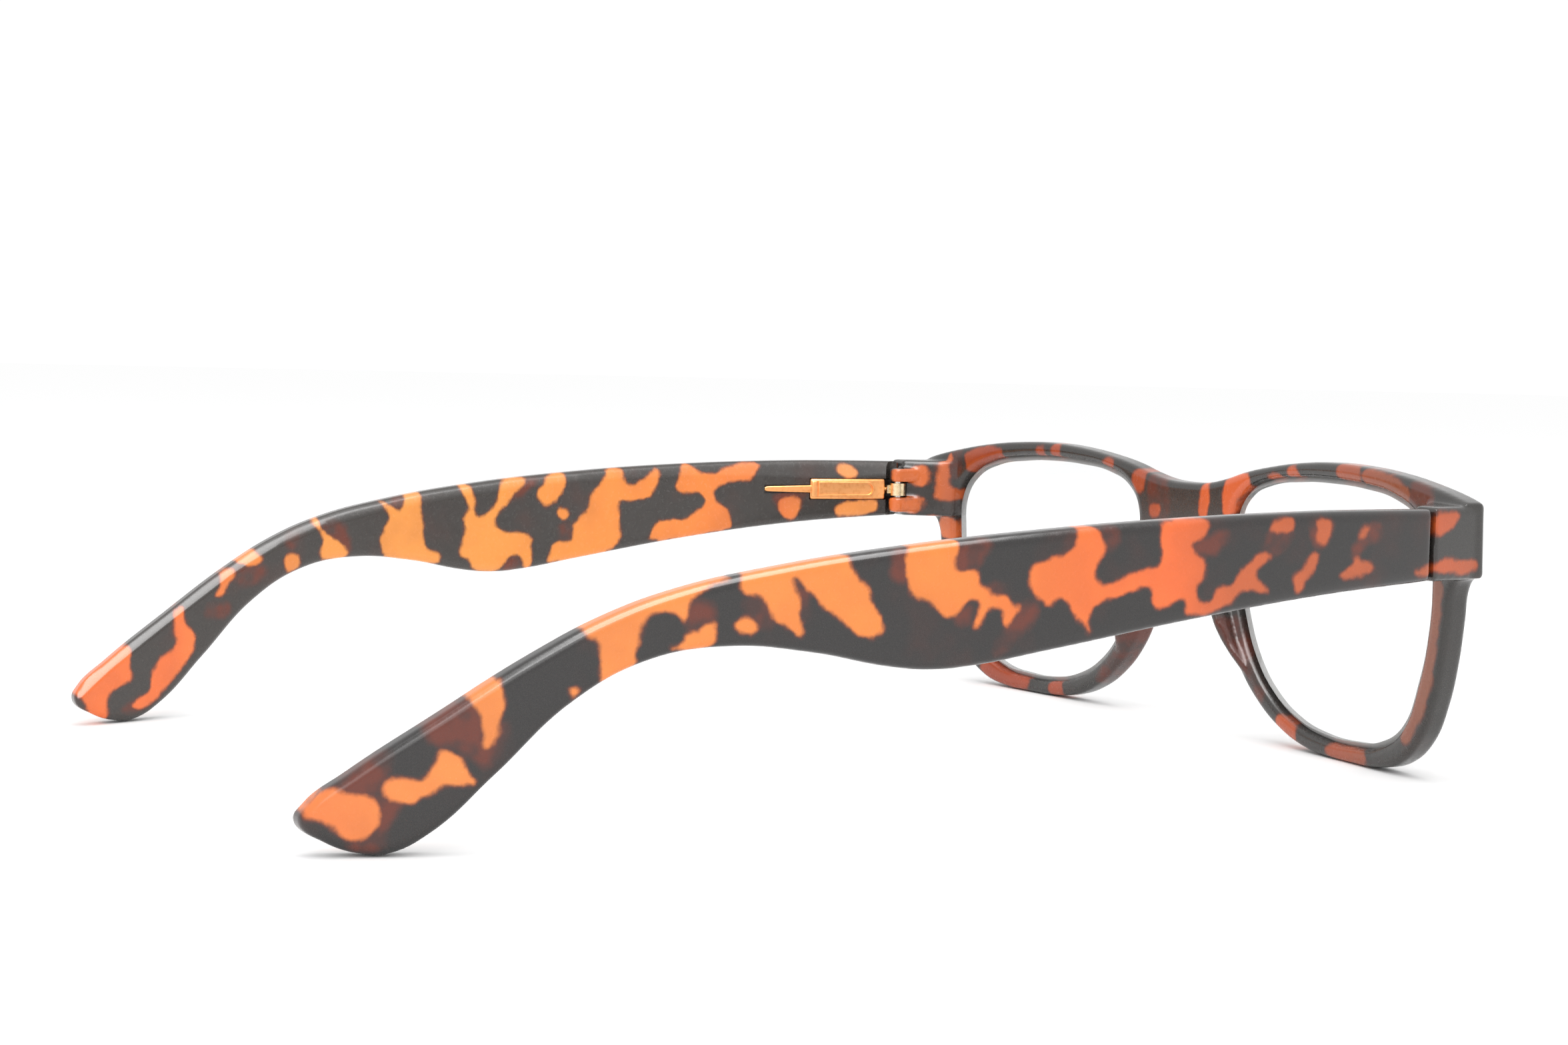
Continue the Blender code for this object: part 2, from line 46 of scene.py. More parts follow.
# How finely shapes are made
VOXEL = 0.3  # the grain of the moulded pieces' skins
SMOOTHING_PASSES = 4
SMOOTHING_SHARE = 0.5
WELD_REACH = 0.002  # points this close become one
ROD_SIDES = 48
BOX_ROUND_STEPS = 3

# Front frame
FRONT_THICKNESS = 4.0
FRONT_MIDDLE_Y = -13.8
FRONT_WRAP = 6.1  # how far the front curves back, at WRAP_REACH from the middle
WRAP_REACH = 70.0
FRONT_TILT = 0.03  # how far the front leans forward towards its foot, per unit of height
FRONT_EDGE_ROUND = 0.9
END_PIECE_HEIGHTS = (-9.25, 0.4)
END_PIECE_ROUND = 0.7
BUTT_GAP = 0.3  # between the front's end piece and the temple's end
SIDE_START_X = 65.2  # outward of this the end piece shows its side, over a blend
SIDE_BLEND = 0.6
SIDE_FOOT = -9.6
SIDE_FOOT_BLEND = 0.4

# Lenses
LENS_THICKNESS = 2.0
LENS_BEVEL = 0.98
LENS_GROOVE_HOLD = 0.25
LENS_CROWN = 0.7  # how much thicker the lens is in its middle
LENS_MIDDLE = (35.5, -16.5)
LENS_CROWN_REACH = 26.0
LENS_SLICE = 1.6  # spacing of the cuts that let the flat lens bend
LENS_SLICE_HEIGHTS = (-36.0, 3.0)
EDGE_FACING = 0.85  # faces turned further than this from the lens's front and back are its edge

# Temples
TEMPLE_THICKNESS = 3.8
TEMPLE_EDGE_ROUND = 1.0
TEMPLE_HALF_SPAN = 68.0
TEMPLE_SPLAY = 12.5  # outward slope and inward curve, per 100 mm and per 100 mm squared
TEMPLE_CURVE = -15.7
BEVEL_BAND = [(0, 2.2), (14, 3.0), (30, 2.2), (60, 1.5), (145, 1.5)]  # from the top edge to the ridge
BEVEL_DEPTH = [(0, 0.9), (25, 0.9), (60, 0.675), (145, 0.675)]  # outward lean above the ridge

# Hinge, on the screw's axis
HINGE_X = 63.7
HINGE_Y = 1.0
HINGE_SPLAY_DEG = 5.5
LUG_RADIUS = 1.5
LUG_REACH = 4.6
LUG_ROUND = 0.25
LUG_ARC_STEPS = 24
UPPER_LUG = (-3.35, -1.1)
LOWER_LUG = (-8.6, -6.05)
EYE_CLEARANCE_RADIUS = 1.75
KNUCKLE_CLEARANCE_RADIUS = 2.05
KNUCKLE_CUT_HEIGHTS = (-15.0, 3.0)
SCREW_HOLE_RADIUS = 0.68
SCREW_SEAT_RADIUS = 1.1
SCREW_SEAT_DEPTH = 0.6
CUT_OVERSHOOT = 1.0  # how far a cutter runs past the face it starts from

# Spring box, in the hinge's own frame: X outward, Y along the temple
BOX_X = (0.3, 2.7)
BOX_Y = (2.2, 16.3)
BOX_HEIGHTS = (-6.45, -2.95)
BOX_MIDDLE_HEIGHT = -4.7
BOX_ROUND = 0.35
TAIL_LENGTH = 8.5
TAIL_THICKNESS = 0.9
TAIL_OVERLAP = 0.6  # the tail's root inside the box
TAIL_POINT = 0.5  # the length of its tapered end
TAIL_HALF_WIDTH = 0.65  # from the root to the tapered end, which narrows from shoulder to tip
TAIL_SHOULDER = 0.455
TAIL_TIP = 0.26
TAIL_ROUND = 0.2
PANEL_Y = (4.6, 14.6)
PANEL_HEIGHT = 2.0
PANEL_ARC_STEPS = 16
PANEL_SINK = 0.18
PANEL_ROUND = 0.05
RIM_WIDTH = 0.3
RIM_HEIGHT = 0.16  # the rim round the oblong panel stands this proud of the box
RIM_ROUND = 0.12
END_BLOCK_Y = (15.0, 16.1)
END_BLOCK_INSET = 0.35
END_BLOCK_ROUND = 0.2
END_BLOCK_ROOT = 1.0  # inside the box
CHANNEL_RADIUS = 0.85
CHANNEL_Y = (3.2, 15.3)
SHANK_HOLE_RADIUS = 0.5
SHANK_HOLE_Y = (1.2, 4.2)
SHANK_X = 1.5
POCKET_CLEARANCE = 0.08
POCKET_START_Y = -2.0
POCKET_INNER_X = -3.0  # well inward of the temple

# Outlines as (along, height), with a third value for a corner that isn't rounded over
FRONT_TOP = [
    (0.0, 0.0), (5.0, 0.2), (9.5, 1.0), (14.5, 2.3), (20.0, 3.3), (27.0, 4.2), (34.5, 4.65),
    (42.0, 4.5), (50.0, 3.85), (58.0, 2.65), (64.5, 1.3), (66.4, 0.75, "corner"),
]
FRONT_SIDE = [
    (66.4, -9.1, "corner"), (64.6, -9.5), (63.5, -11.0), (62.8, -15.0), (61.6, -21.0),
    (59.6, -27.0), (56.6, -32.2), (51.8, -35.8), (46.0, -37.2),
]
RIM_FOOT = [(41.0, -37.4, "corner"), (35.0, -37.4, "corner")]
FRONT_NOSE = [
    (29.5, -36.8), (23.5, -34.8), (18.3, -31.6), (14.2, -27.6), (11.2, -23.0), (9.2, -18.0),
    (7.6, -13.0), (5.0, -9.0), (0.0, -7.5),
]
LENS_OPENING = [
    (11.9, -4.2), (14.5, -0.7), (19.5, 1.3), (27.0, 2.2), (35.0, 2.4), (43.0, 2.05),
    (50.0, 1.0), (55.6, -1.5), (58.7, -5.6), (59.2, -11.0), (58.5, -17.5), (56.6, -24.0),
    (52.9, -31.0), (47.3, -34.2), (41.0, -35.1), (34.0, -35.0), (27.2, -33.6), (21.2, -30.4),
    (16.8, -25.8), (13.8, -19.5), (12.2, -12.0),
]
TEMPLE_PROFILE = [
    (0.15, 0.1, "corner"), (10.0, 0.15), (20.0, 0.1), (40.0, -0.5), (60.0, -1.75), (80.0, -3.75),
    (95.0, -6.05), (105.0, -8.3), (113.0, -11.25), (121.0, -15.6), (131.0, -22.2), (140.0, -28.4),
    (144.4, -32.0), (145.1, -33.7), (142.5, -35.85), (138.5, -37.2), (136.0, -37.2), (131.8, -35.1),
    (125.0, -28.7), (117.0, -20.85), (109.0, -16.35), (100.0, -14.8), (90.0, -15.6), (80.5, -17.4),
    (75.5, -17.85), (70.0, -17.5), (60.0, -15.95), (40.0, -12.85), (20.0, -10.5), (0.15, -9.15, "corner"),
]
TEMPLE_TOP_EDGE = TEMPLE_PROFILE[:13]

# The end piece's plan as (outward, along)
END_PIECE_PLAN = [
    (58.5, -9.4, "corner"), (66.25, -9.4, "corner"),
    (TEMPLE_HALF_SPAN, -BUTT_GAP / 2, "corner"), (64.0, -BUTT_GAP / 2, "corner"),
    (61.9, -3.0), (59.8, -6.0), (58.5, -7.2, "corner"),
]

# The pad: how far it stands back from the front's middle surface at each height, and its thickness
PAD_BACK = [(-30.5, 0.6), (-25.0, 3.8), (-21.0, 5.4), (-17.0, 6.0), (-13.0, 5.4), (-9.5, 3.4), (-6.5, 0.5)]
PAD_THICKNESS = 1.9
PAD_INSET = 1.3  # from the rim's nose edge to the pad's middle
PAD_SPREAD = 0.22  # how much the pads open towards the face
PAD_ROWS = 40
PAD_RING = 24
PAD_SIDE_POWER = 0.8  # the section's shape across and front to back: 1 is round, 0 square
PAD_BACK_POWER = 0.6

# The mottle: outlines of the amber and of the red-brown patches on a near-black ground. They go right
# through the plastic: as (along, height) in the temples and (outward to the left, height) in the front.
RIGHT_TEMPLE_AMBER = [
    [(0, -6.8), (1.5, -7.3), (3.8, -8), (2.5, -8.4), (0, -8.1)],
    [(11.8, -2), (13, -1.5), (14, -3), (13.3, -3.6), (12.3, -3)],
    [(11, -6.6), (13, -6), (14.6, -5.4), (15, -7), (17.5, -8), (14, -8.3), (11.5, -7.8)],
    [(18.3, -0.8), (21.6, -0.7), (21, -2), (21.3, -3.5), (20, -4), (19, -3.2)],
    [(20.5, -5), (22, -5.2), (23, -6.7), (25, -8), (24.2, -9.8), (23, -9.6), (22.8, -8.2), (21.2, -7)],
    [(24.7, -0.6), (28, -0.7), (28.8, -2.2), (27, -2.4), (25.2, -2.2)],
    [(28, -5), (30, -4.5), (32, -6), (33.5, -7.6), (34.6, -9), (36.5, -8.8), (37, -10), (38, -10.8),
     (39.5, -10.5), (40, -9), (38.4, -7), (38.6, -5.2), (40, -4.9), (41, -4), (40.5, -3.3), (39, -2.8),
     (37.5, -0.5), (45, -0.4), (45.4, -3), (45, -5), (45.5, -6.2), (47.5, -6.6), (50, -7.4), (52, -8.2),
     (54, -8.3), (54.7, -7), (54.2, -5.5), (53.2, -4.5), (53.5, -3), (55, -1), (57, -1.2), (57.2, -3.5),
     (58.5, -4.8), (60.5, -5), (62.8, -5.8), (63.5, -7), (63, -9.5), (61.5, -9.8), (60.8, -10.7),
     (59.8, -9.8), (58.3, -10), (57, -11.8), (55.8, -13.2), (54.8, -14.2), (55.2, -12.5), (54.8, -10.6),
     (52, -9.9), (49.5, -9), (47.2, -8.4), (46.2, -9.2), (46, -11.4), (44, -11), (42.3, -10), (41, -10.4),
     (41.5, -12.2), (38, -12), (35, -11.3), (33.8, -10), (32, -9.2), (30, -9.7), (28.3, -9.7), (30, -8.6),
     (31, -7.4), (29.4, -6)],
    [(70.2, -6.3), (73, -6.8), (73.2, -5), (72.4, -2), (78.6, -2.8), (79.3, -5.5), (79, -8), (78.2, -9.5),
     (76.5, -9.7), (75.3, -10.8), (74.2, -11.8), (73, -11.6), (72, -10.8), (71.3, -9.7), (70, -9.8),
     (69.9, -11), (70.7, -13), (69.8, -12.8), (68.8, -11), (67.5, -10.5), (66.4, -10.9), (66.8, -13),
     (65.5, -12.3), (64.2, -10.6), (66, -10.5), (66.2, -9.3), (68, -9.6), (69.2, -8.3), (70, -8.2)],
    [(85.5, -3), (91, -4), (97, -5), (99, -7.8), (98.3, -8.8), (96.5, -9), (95, -10.5), (94.8, -12.2),
     (93, -12.7), (91.8, -13.8), (91.5, -12.5), (92, -10.5), (91.9, -9.5), (93, -7), (92, -6.8), (90.5, -9),
     (88, -11), (86, -13), (83.5, -14), (82, -13.3), (82, -11.8), (83.7, -10), (83.5, -8.2), (85.2, -7.2),
     (86.5, -5.4)],
    [(96.5, -13), (97, -12), (98, -11.4), (99.9, -12.5), (98.5, -13.3)],
    [(101.5, -12), (102.8, -12), (103.5, -13), (105, -13.3), (105.3, -14.3), (107, -15), (104, -15.2),
     (101.8, -14.8)],
    [(98, -6.5), (108, -8), (115.5, -11.5), (116, -13.3), (114.3, -13.8), (114.2, -15), (114.4, -17),
     (113.8, -19), (110.2, -17), (110.6, -15), (109.8, -12.5), (109, -11), (107.5, -10.6), (105.8, -11),
     (105.2, -12), (104.6, -10.5), (104.2, -8.7)],
    [(116.3, -19.5), (117, -18.9), (117.8, -19.5), (117, -20.2)],
    [(125, -17), (128.5, -20), (126.8, -22), (126.5, -24), (126.6, -26), (125.2, -25), (125, -23),
     (124.2, -21), (124.8, -19.6)],
    [(127, -29.6), (128, -28), (130, -25.8), (131.2, -26), (131.8, -28), (133, -29.2), (135, -28.7),
     (136.5, -29), (137.2, -30), (136, -31.5), (134, -31.5), (132, -30.5), (130.5, -29.4), (128.5, -29.6)],
    [(137.6, -31), (140, -30.4), (142.5, -30), (144.8, -31.8), (144.6, -33), (143, -33.3), (141.8, -34.2),
     (140.6, -35.4), (138.4, -35.4), (137, -33.6)],
]
RIGHT_TEMPLE_BROWN = [
    [(0, -1), (1.2, -1), (1.3, -3), (0, -3)],
    [(9.5, -1.5), (12, -1.5), (13.4, -3.4), (15, -4.5), (15.3, -6.2), (14, -6), (12.5, -4), (10, -3.6)],
    [(17.8, -0.5), (22.3, -0.5), (21.8, -4.4), (19.4, -4.4)],
    [(25, -2), (28.5, -2), (30.8, -4.5), (28, -5.4), (25.4, -4)],
    [(35, -2), (38, -2.5), (41.6, -4), (38.8, -5.4), (35.5, -4.2)],
    [(51.3, -1.6), (54, -1.5), (53.6, -4.6), (51.5, -3.8)],
    [(57, -1.8), (58.5, -2), (59.2, -4.8), (57.6, -4.8)],
    [(62.5, -9.8), (64.3, -10.4), (66.5, -13), (68, -16.5), (66, -15.5), (62, -12)],
    [(66.2, -9.2), (67, -7.8), (69.3, -8.2), (68.5, -9.8)],
    [(68, -2.6), (73, -3.2), (73.4, -7), (70.4, -6.2), (69, -4.6)],
    [(70.4, -10), (72.2, -10.6), (73.2, -12.2), (71, -13)],
    [(78.8, -3.8), (81.6, -4.2), (81, -7.6), (78.8, -8)],
    [(91.4, -13), (92, -9.5), (93, -6.8), (92, -6.8), (90.4, -9.4)],
    [(94.8, -9.8), (97, -8.7), (98.6, -9.5), (98.2, -11), (96.2, -13.2), (94.8, -12.6)],
    [(101.8, -9.8), (104.6, -9.4), (105.3, -12.9), (103, -12.9), (101.6, -11.5)],
    [(124, -22), (126, -25), (128.8, -25), (126.6, -28.5), (124.2, -25.5)],
    [(126.4, -22.5), (128.3, -19.5), (133, -23), (132, -25.2), (129, -25.6), (126.4, -27.5)],
    [(135.8, -25), (142.4, -30.2), (138, -31), (136.3, -28.5)],
    [(134, -31), (138.5, -30.6), (138.6, -34.5), (141, -36.6), (137, -37), (136.6, -34.5)],
]
LEFT_TEMPLE_AMBER = [
    [(4.3, -7.5), (5, -6.3), (11, -6.8), (12.5, -8), (12, -9.6), (5, -9)],
    [(8, -1.8), (9.5, -0.4), (12, -0.5), (12, -2.5), (9, -3)],
    [(18.6, -7), (19, -6), (23, -6), (23, -8), (21.5, -10), (20, -9.9), (19.3, -8.3)],
    [(26, -0.2), (32, -0.6), (34, -2), (38, -2.4), (39.3, -0.5), (41, -0.6), (41.7, -3), (42.3, -4),
     (41.5, -5.2), (38, -5.3), (36.6, -6.2), (37, -7.5), (39, -9), (40.5, -9.9), (43, -10), (45.5, -10),
     (46.5, -11.5), (47.4, -13.8), (32, -11.8), (32, -10), (32.8, -8), (35, -6.7), (35.7, -5.2), (34, -3.7),
     (31, -3.3), (28.5, -3.5), (27.5, -2.3)],
    [(45.2, -1.2), (47, -2), (48, -3), (50.5, -4.3), (52, -3.8), (52, -1.2), (54.5, -1.2), (55.5, -3),
     (57, -4.5), (58.5, -6), (58, -7.5), (60, -9.5), (61.2, -10.2), (60.8, -11.5), (61.8, -13.4),
     (64.8, -13.2), (65, -15), (66, -17), (53, -15), (52.4, -11), (53, -8), (52.7, -6.5), (50, -6.7),
     (47, -6), (46.5, -5), (45.5, -4)],
    [(62.5, -1.8), (65, -2), (67, -4), (67.8, -5), (67.3, -6.7), (66, -7.5), (64, -6.5), (62.8, -4.5)],
    [(62.2, -8), (63.7, -7.5), (64, -9), (63, -9.9), (62, -9)],
    [(69, -2.4), (74, -2.8), (75, -6), (76.5, -8.5), (78, -9.2), (79, -8.5), (79.2, -6), (79.8, -3.6),
     (81.7, -3.8), (80.8, -6), (79.8, -7.8), (81, -8.8), (80.5, -10.5), (80.8, -12.5), (81.8, -15),
     (79.8, -15.6), (79.3, -17.6), (74.2, -18), (73, -15.6), (71.5, -15), (70.5, -15.6), (70, -17.6),
     (68.4, -17.2), (69, -14), (68.7, -12.5), (70, -11.8), (74, -11.5), (75.5, -10.5), (75.6, -9),
     (74, -7.5), (71.5, -5)],
    [(88.5, -4.4), (91.2, -4.8), (91.8, -7.5), (92.5, -8), (94, -6.6), (96, -6), (94, -8), (93.6, -9),
     (95, -10), (95, -11.5), (95.7, -12.5), (95, -15.4), (85.2, -16.8), (85.2, -14.5), (88, -13.8),
     (88.2, -10), (88.5, -7)],
    [(100.5, -15), (102, -12.8), (104, -11.6), (106, -10), (106, -8.4), (107.2, -8.8), (106.3, -10.3),
     (104.9, -12), (106, -13.5), (105.5, -15.2)],
    [(109.3, -14.8), (110.3, -13.7), (111.9, -14.5), (111.6, -16.8), (109.6, -16.4)],
    [(115.3, -15), (117, -13), (118, -12), (120.4, -14.5), (118, -15.6)],
    [(120.5, -15.6), (122.6, -16.5), (122.2, -18.2), (123.5, -20), (121.8, -19.8), (121.2, -18), (120, -17)],
    [(128, -20.6), (130, -22), (129.5, -25.5), (129.5, -27.4), (132, -28.2), (132.7, -29.5), (133.6, -31.5),
     (133.6, -33.5), (137, -35.2), (134, -35.8), (130.5, -32.2), (127.1, -28.6), (126.2, -25.5),
     (128.3, -23.5)],
    [(136.5, -26.2), (139, -27), (143.5, -30.4), (145.8, -32), (144, -33.5), (143, -36), (140.2, -37.5),
     (140.4, -33.5), (139, -32.2), (136.2, -31.5), (137, -29.5)],
]
LEFT_TEMPLE_BROWN = [
    [(17.5, -5.6), (19, -5), (24, -5.2), (24, -7.6), (22, -8.4), (19, -7.6)],
    [(66, -2.4), (71, -3.4), (73.4, -6.5), (71, -6), (68.4, -4)],
    [(61, -10), (62.6, -9.6), (64.4, -11.4), (62, -13.6), (60.6, -12)],
    [(70.2, -17.8), (70.6, -15.2), (73, -15.2), (74.4, -18)],
    [(91, -5), (94.4, -6), (92.6, -8.3), (91.6, -7.8)],
    [(100.6, -12.6), (102, -9), (106, -9), (105, -11.6), (102, -13.6), (101, -15)],
    [(109.6, -10.5), (112, -11.4), (111, -13.4), (109.6, -12.6)],
    [(114.6, -15.4), (120.6, -15.6), (121, -18), (117, -18.6), (115, -17.2)],
    [(120.2, -21), (124, -20.4), (125.4, -22.4), (122, -23.4)],
    [(127.6, -22.4), (130.4, -22.6), (130, -26), (128, -24.8)],
    [(133, -32.4), (137.4, -34.8), (138, -36), (134, -36)],
]
FRONT_AMBER = [
    [(-54, -0.6), (-54.5, 2.5), (-43.2, 4.8), (-43.4, 1.6), (-48, 1), (-52, -0.4)],
    [(-42.6, 1.6), (-42.6, 5), (-37.4, 5), (-37, 2)],
    [(-28, 1.6), (-28, 3.6), (-25.4, 3.6), (-25.6, 1.4)],
    [(-23.4, 0.8), (-23.6, 2.4), (-20.4, 2.4), (-20.6, 1)],
    [(-16.4, 0), (-16, 2.6), (-10, 1.8), (-9.4, -4.6), (-12, -4.4), (-13, -1.5)],
    [(-6.6, 0.6), (-4.4, 0.4), (-3.6, -5.4), (-6, -5.4)],
    [(-62.4, -9.5), (-59.2, -9.5), (-58.2, -20), (-55.6, -28), (-52.4, -32), (-54.6, -33), (-59, -27),
     (-60.6, -20), (-61.6, -14)],
    [(-45, -35), (-45, -37.6), (-35.6, -37.6), (-35.4, -35)],
    [(-28.4, -34), (-28, -37), (-23, -35.4), (-23.6, -32.4)],
    [(-65.5, -0.4), (-61.2, -0.4), (-61.4, -3), (-63.4, -3.2), (-65.2, -2)],
    [(9.6, 1.6), (12.8, 1.4), (13.2, -1), (10.6, -2.7), (9.8, -1)],
    [(5.8, -3.8), (8.2, -3.8), (8.8, -5.8), (6.2, -6)],
    [(17.8, 1.2), (18, 2.8), (20.6, 2.8), (20.8, 1)],
    [(31.6, 1.8), (31.6, 4.6), (33.6, 4.6), (33.8, 1.8)],
    [(35.6, 2.4), (35.6, 3.9), (37.6, 3.9), (37.6, 2.4)],
    [(46.4, 1), (47, 3.8), (56, 2.6), (56, 0), (54.8, -2), (50, 0.2)],
    [(61.3, -0.5), (63.3, -0.5), (63.1, -4), (61.3, -4.3)],
    [(61.8, -5.8), (64, -5.8), (64, -8.7), (61.9, -8.8)],
    [(59.3, 1.6), (60.5, 1.6), (60.4, -3.2), (60.9, -4.8), (60.4, -6.3), (58.1, -6.3), (57.9, -4.7),
     (59.2, -4)],
    [(58.8, -9.2), (63, -9.4), (62.6, -12.8), (58.8, -13.4)],
    [(30.6, -34.6), (30.4, -37.6), (33.8, -37.6), (34.2, -34.6)],
    [(39, -34.6), (39.6, -37.6), (46, -37.4), (52.6, -35.4), (51, -33)],
]
FRONT_BROWN = [
    [(-60.5, 0), (-58.4, 2.8), (-54, 3.2), (-53.4, -0.6)],
    [(-15, -26), (-12.4, -20), (-13.8, -19), (-17.4, -27), (-21, -31), (-19, -32)],
    [(7.4, -24), (13.4, -22), (16.6, -28), (22.6, -33), (20, -35), (12, -30)],
    [(4, 0.8), (9, 1.8), (9, -4), (6, -6.4), (3, -5)],
    [(56, 2.6), (61, 2), (60.4, -3), (57, -2)],
]
# On the end pieces' outer sides the mottle runs along the side: (along, height)
END_PIECE_AMBER = [
    [(-5.2, -0.2), (-0.2, -0.2), (-0.2, -2.6), (-1, -3.3), (-2.5, -2.8), (-4.2, -2)],
    [(-9, -6.4), (-6, -6.6), (-3, -6.3), (-1, -6.6), (-0.1, -7), (-0.1, -8), (-3, -8), (-6, -8.3),
     (-9, -8)],
]
DEPTH_REACH = 3.0  # depths are measured this far from a patch's edge
CORNER_CUTS = 2

# Amber colours along each temple and across the front, at mm from the middle of the glasses. They are partly
# the plastic's own tone and partly painted light and shade: the front's amber is darkened as painted shade,
# and along the temples some stops are lightened or darkened as painted light
RIGHT_TONES_AND_PAINTED_LIGHT = [
    (-70, (0.4, 0.08, 0.018)), (-30, (0.5, 0.095, 0.02)), (-20, (0.79, 0.136, 0.022)),
    (-5, (0.8, 0.164, 0.025)), (12, (0.78, 0.215, 0.032)), (66, (0.78, 0.232, 0.045)),
    (80, (0.78, 0.19, 0.04)),
]
LEFT_TONES_AND_PAINTED_LIGHT = [
    (-70, (0.84, 0.31, 0.085)), (-54, (0.83, 0.3, 0.08)), (-42, (0.76, 0.19, 0.046)),
    (-28, (0.84, 0.225, 0.038)), (-8, (0.84, 0.26, 0.042)), (12, (0.82, 0.295, 0.053)),
    (40, (0.8, 0.29, 0.055)), (66, (0.8, 0.16, 0.033)), (80, (0.78, 0.155, 0.03)),
]
FRONT_TONES_AND_PAINTED_SHADE = [
    (-68, (0.49, 0.08, 0.012)), (-63, (0.2, 0.055, 0.02)), (-50, (0.25, 0.06, 0.02)),
    (-38, (0.34, 0.065, 0.02)), (-16, (0.6, 0.1, 0.02)), (-6, (0.66, 0.11, 0.02)),
    (10, (0.36, 0.06, 0.015)), (50, (0.32, 0.045, 0.01)), (57, (0.36, 0.06, 0.01)),
    (61, (0.64, 0.14, 0.03)), (68, (0.74, 0.18, 0.035)),
]

# How far the patches' edges wander, and the depths over which they blend, in mm
EDGE_WANDER = 0.6
EDGE_GRAIN = 0.06
AMBER_BLEND = (-0.35, 0.35)
BROWN_BLEND = (-0.7, 0.7)
FRINGE_BLEND = (-0.6, -0.05)
FRINGE_STRENGTH = 0.7
SPECKLE_LIFT = 1.7  # how much paler than the ground its specks are

# Lights as (name, place, aim, size, power, whether it shows only in reflections)
LIGHTS = [
    ("overhead", (-0.1, 0.1, 0.9), (0, 0, 0), 0.9, 3.2, False),
    ("camera_side", (-0.8, 0.5, 0.5), (0, 0, 0.02), 0.6, 2.2, False),
    ("gloss_panel", (-0.45, 0.1, 0.8), (0, 0, 0.02), 0.9, 18.0, True),
]
WORLD_STRENGTH = 1.05
FLOOR_REACH = 6.0
FLOOR_DROP = 0.0001
CAMERA_PLACE = (-0.3156, 0.16608, 0.0547)
CAMERA_TURN_DEG = (86.349, -1.423, -118.559)
CAMERA_LENS = 58.728
CAMERA_SENSOR = 36.0
CAMERA_NEAR = 0.01


# ------------------------------------------------------------------ mesh helpers

def new_piece(name, mesh):
    """An object of the scene holding mesh."""
    made = bpy.data.objects.new(name, mesh)
    bpy.context.scene.collection.objects.link(made)
    return made


def evaluated_mesh(source):
    """A welded mesh of the object's evaluated shape, in its own axes."""
    bpy.context.view_layer.update()
    graph = bpy.context.evaluated_depsgraph_get()
    mesh = bpy.data.meshes.new_from_object(source.evaluated_get(graph))
    welded = bmesh.new()
    welded.from_mesh(mesh)
    bmesh.ops.remove_doubles(welded, verts=welded.verts, dist=WELD_REACH * MM)
    bmesh.ops.recalc_face_normals(welded, faces=welded.faces)
    welded.to_mesh(mesh)
    welded.free()
    return mesh


def outline_mesh(outlines, thickness, edge_round, steps=12, round_steps=5, grow=0.0):
    """A flat plate with rounded edges, in XY and centred on Z = 0, from outlines in millimetres."""
    curve = bpy.data.curves.new("outline", "CURVE")
    curve.dimensions = "2D"
    curve.fill_mode = "BOTH"
    curve.resolution_u = steps
    curve.render_resolution_u = 0
    curve.extrude = (thickness / 2 - edge_round) * MM
    curve.bevel_depth = edge_round * MM
    curve.bevel_resolution = round_steps - 1
    curve.offset = (grow - edge_round) * MM
    for outline in outlines:
        spline = curve.splines.new("BEZIER")
        spline.bezier_points.add(len(outline) - 1)
        spline.use_cyclic_u = True
        for point, place in zip(spline.bezier_points, outline):
            point.co = (place[0] * MM, place[1] * MM, 0.0)
            handle = "VECTOR" if len(place) > 2 else "AUTO"
            point.handle_left_type = handle
            point.handle_right_type = handle
    holder = new_piece("outline", curve)
    mesh = evaluated_mesh(holder)
    bpy.data.objects.remove(holder)
    bpy.data.curves.remove(curve)
    return mesh


def finished(shape, name):
    """The mesh of a bmesh shape, which is freed."""
    mesh = bpy.data.meshes.new(name)
    shape.to_mesh(mesh)
    shape.free()
    return mesh


def box_mesh(x, y, z, edge_round=0.0):
    """A box between pairs of millimetre limits, with its edges rounded if asked."""
    shape = bmesh.new()
    bmesh.ops.create_cube(shape, size=1.0)
    sizes = [(high - low) * MM for low, high in (x, y, z)]
    centre = [(high + low) / 2 * MM for low, high in (x, y, z)]
    bmesh.ops.transform(shape, matrix=Matrix.Translation(centre) @ Matrix.Diagonal((*sizes, 1)),
                        verts=shape.verts)
    if edge_round:
        bmesh.ops.bevel(shape, geom=list(shape.edges), offset=edge_round * MM, segments=BOX_ROUND_STEPS,
                        profile=0.5, affect="EDGES")
    return finished(shape, "box")


def rod_mesh(radius, span, centre=(0.0, 0.0)):
    """An upright cylinder between two heights above the ground, in millimetres."""
    shape = bmesh.new()
    bmesh.ops.create_cone(shape, cap_ends=True, segments=ROD_SIDES, radius1=radius * MM,
                          radius2=radius * MM, depth=(span[1] - span[0]) * MM)
    middle = (span[0] + span[1]) / 2
    bmesh.ops.translate(shape, vec=Vector((centre[0], centre[1], middle)) * MM, verts=shape.verts)
    return finished(shape, "rod")


def read_off(table, place):
    """The value at a place, between the rows of an ascending table of (place, value)."""
    places, values = zip(*(row[:2] for row in table))
    return np.interp(place, places, values)


def points_of(mesh):
    """Every vertex of a mesh in millimetres, one row each."""
    flat = np.empty(len(mesh.vertices) * 3, dtype=np.float32)
    mesh.vertices.foreach_get("co", flat)
    return flat.reshape(-1, 3).astype(float) / MM


def move_points(mesh, rule):
    """Move every vertex by a rule that takes and gives columns of millimetres."""
    moved = np.stack(rule(*points_of(mesh).T), axis=1) * MM
    mesh.vertices.foreach_set("co", moved.astype(np.float32).ravel())
    mesh.update()
    return mesh


def joined(meshes):
    """One mesh that holds all the given ones."""
    shape = bmesh.new()
    for mesh in meshes:
        shape.from_mesh(mesh)
    return finished(shape, "joined")


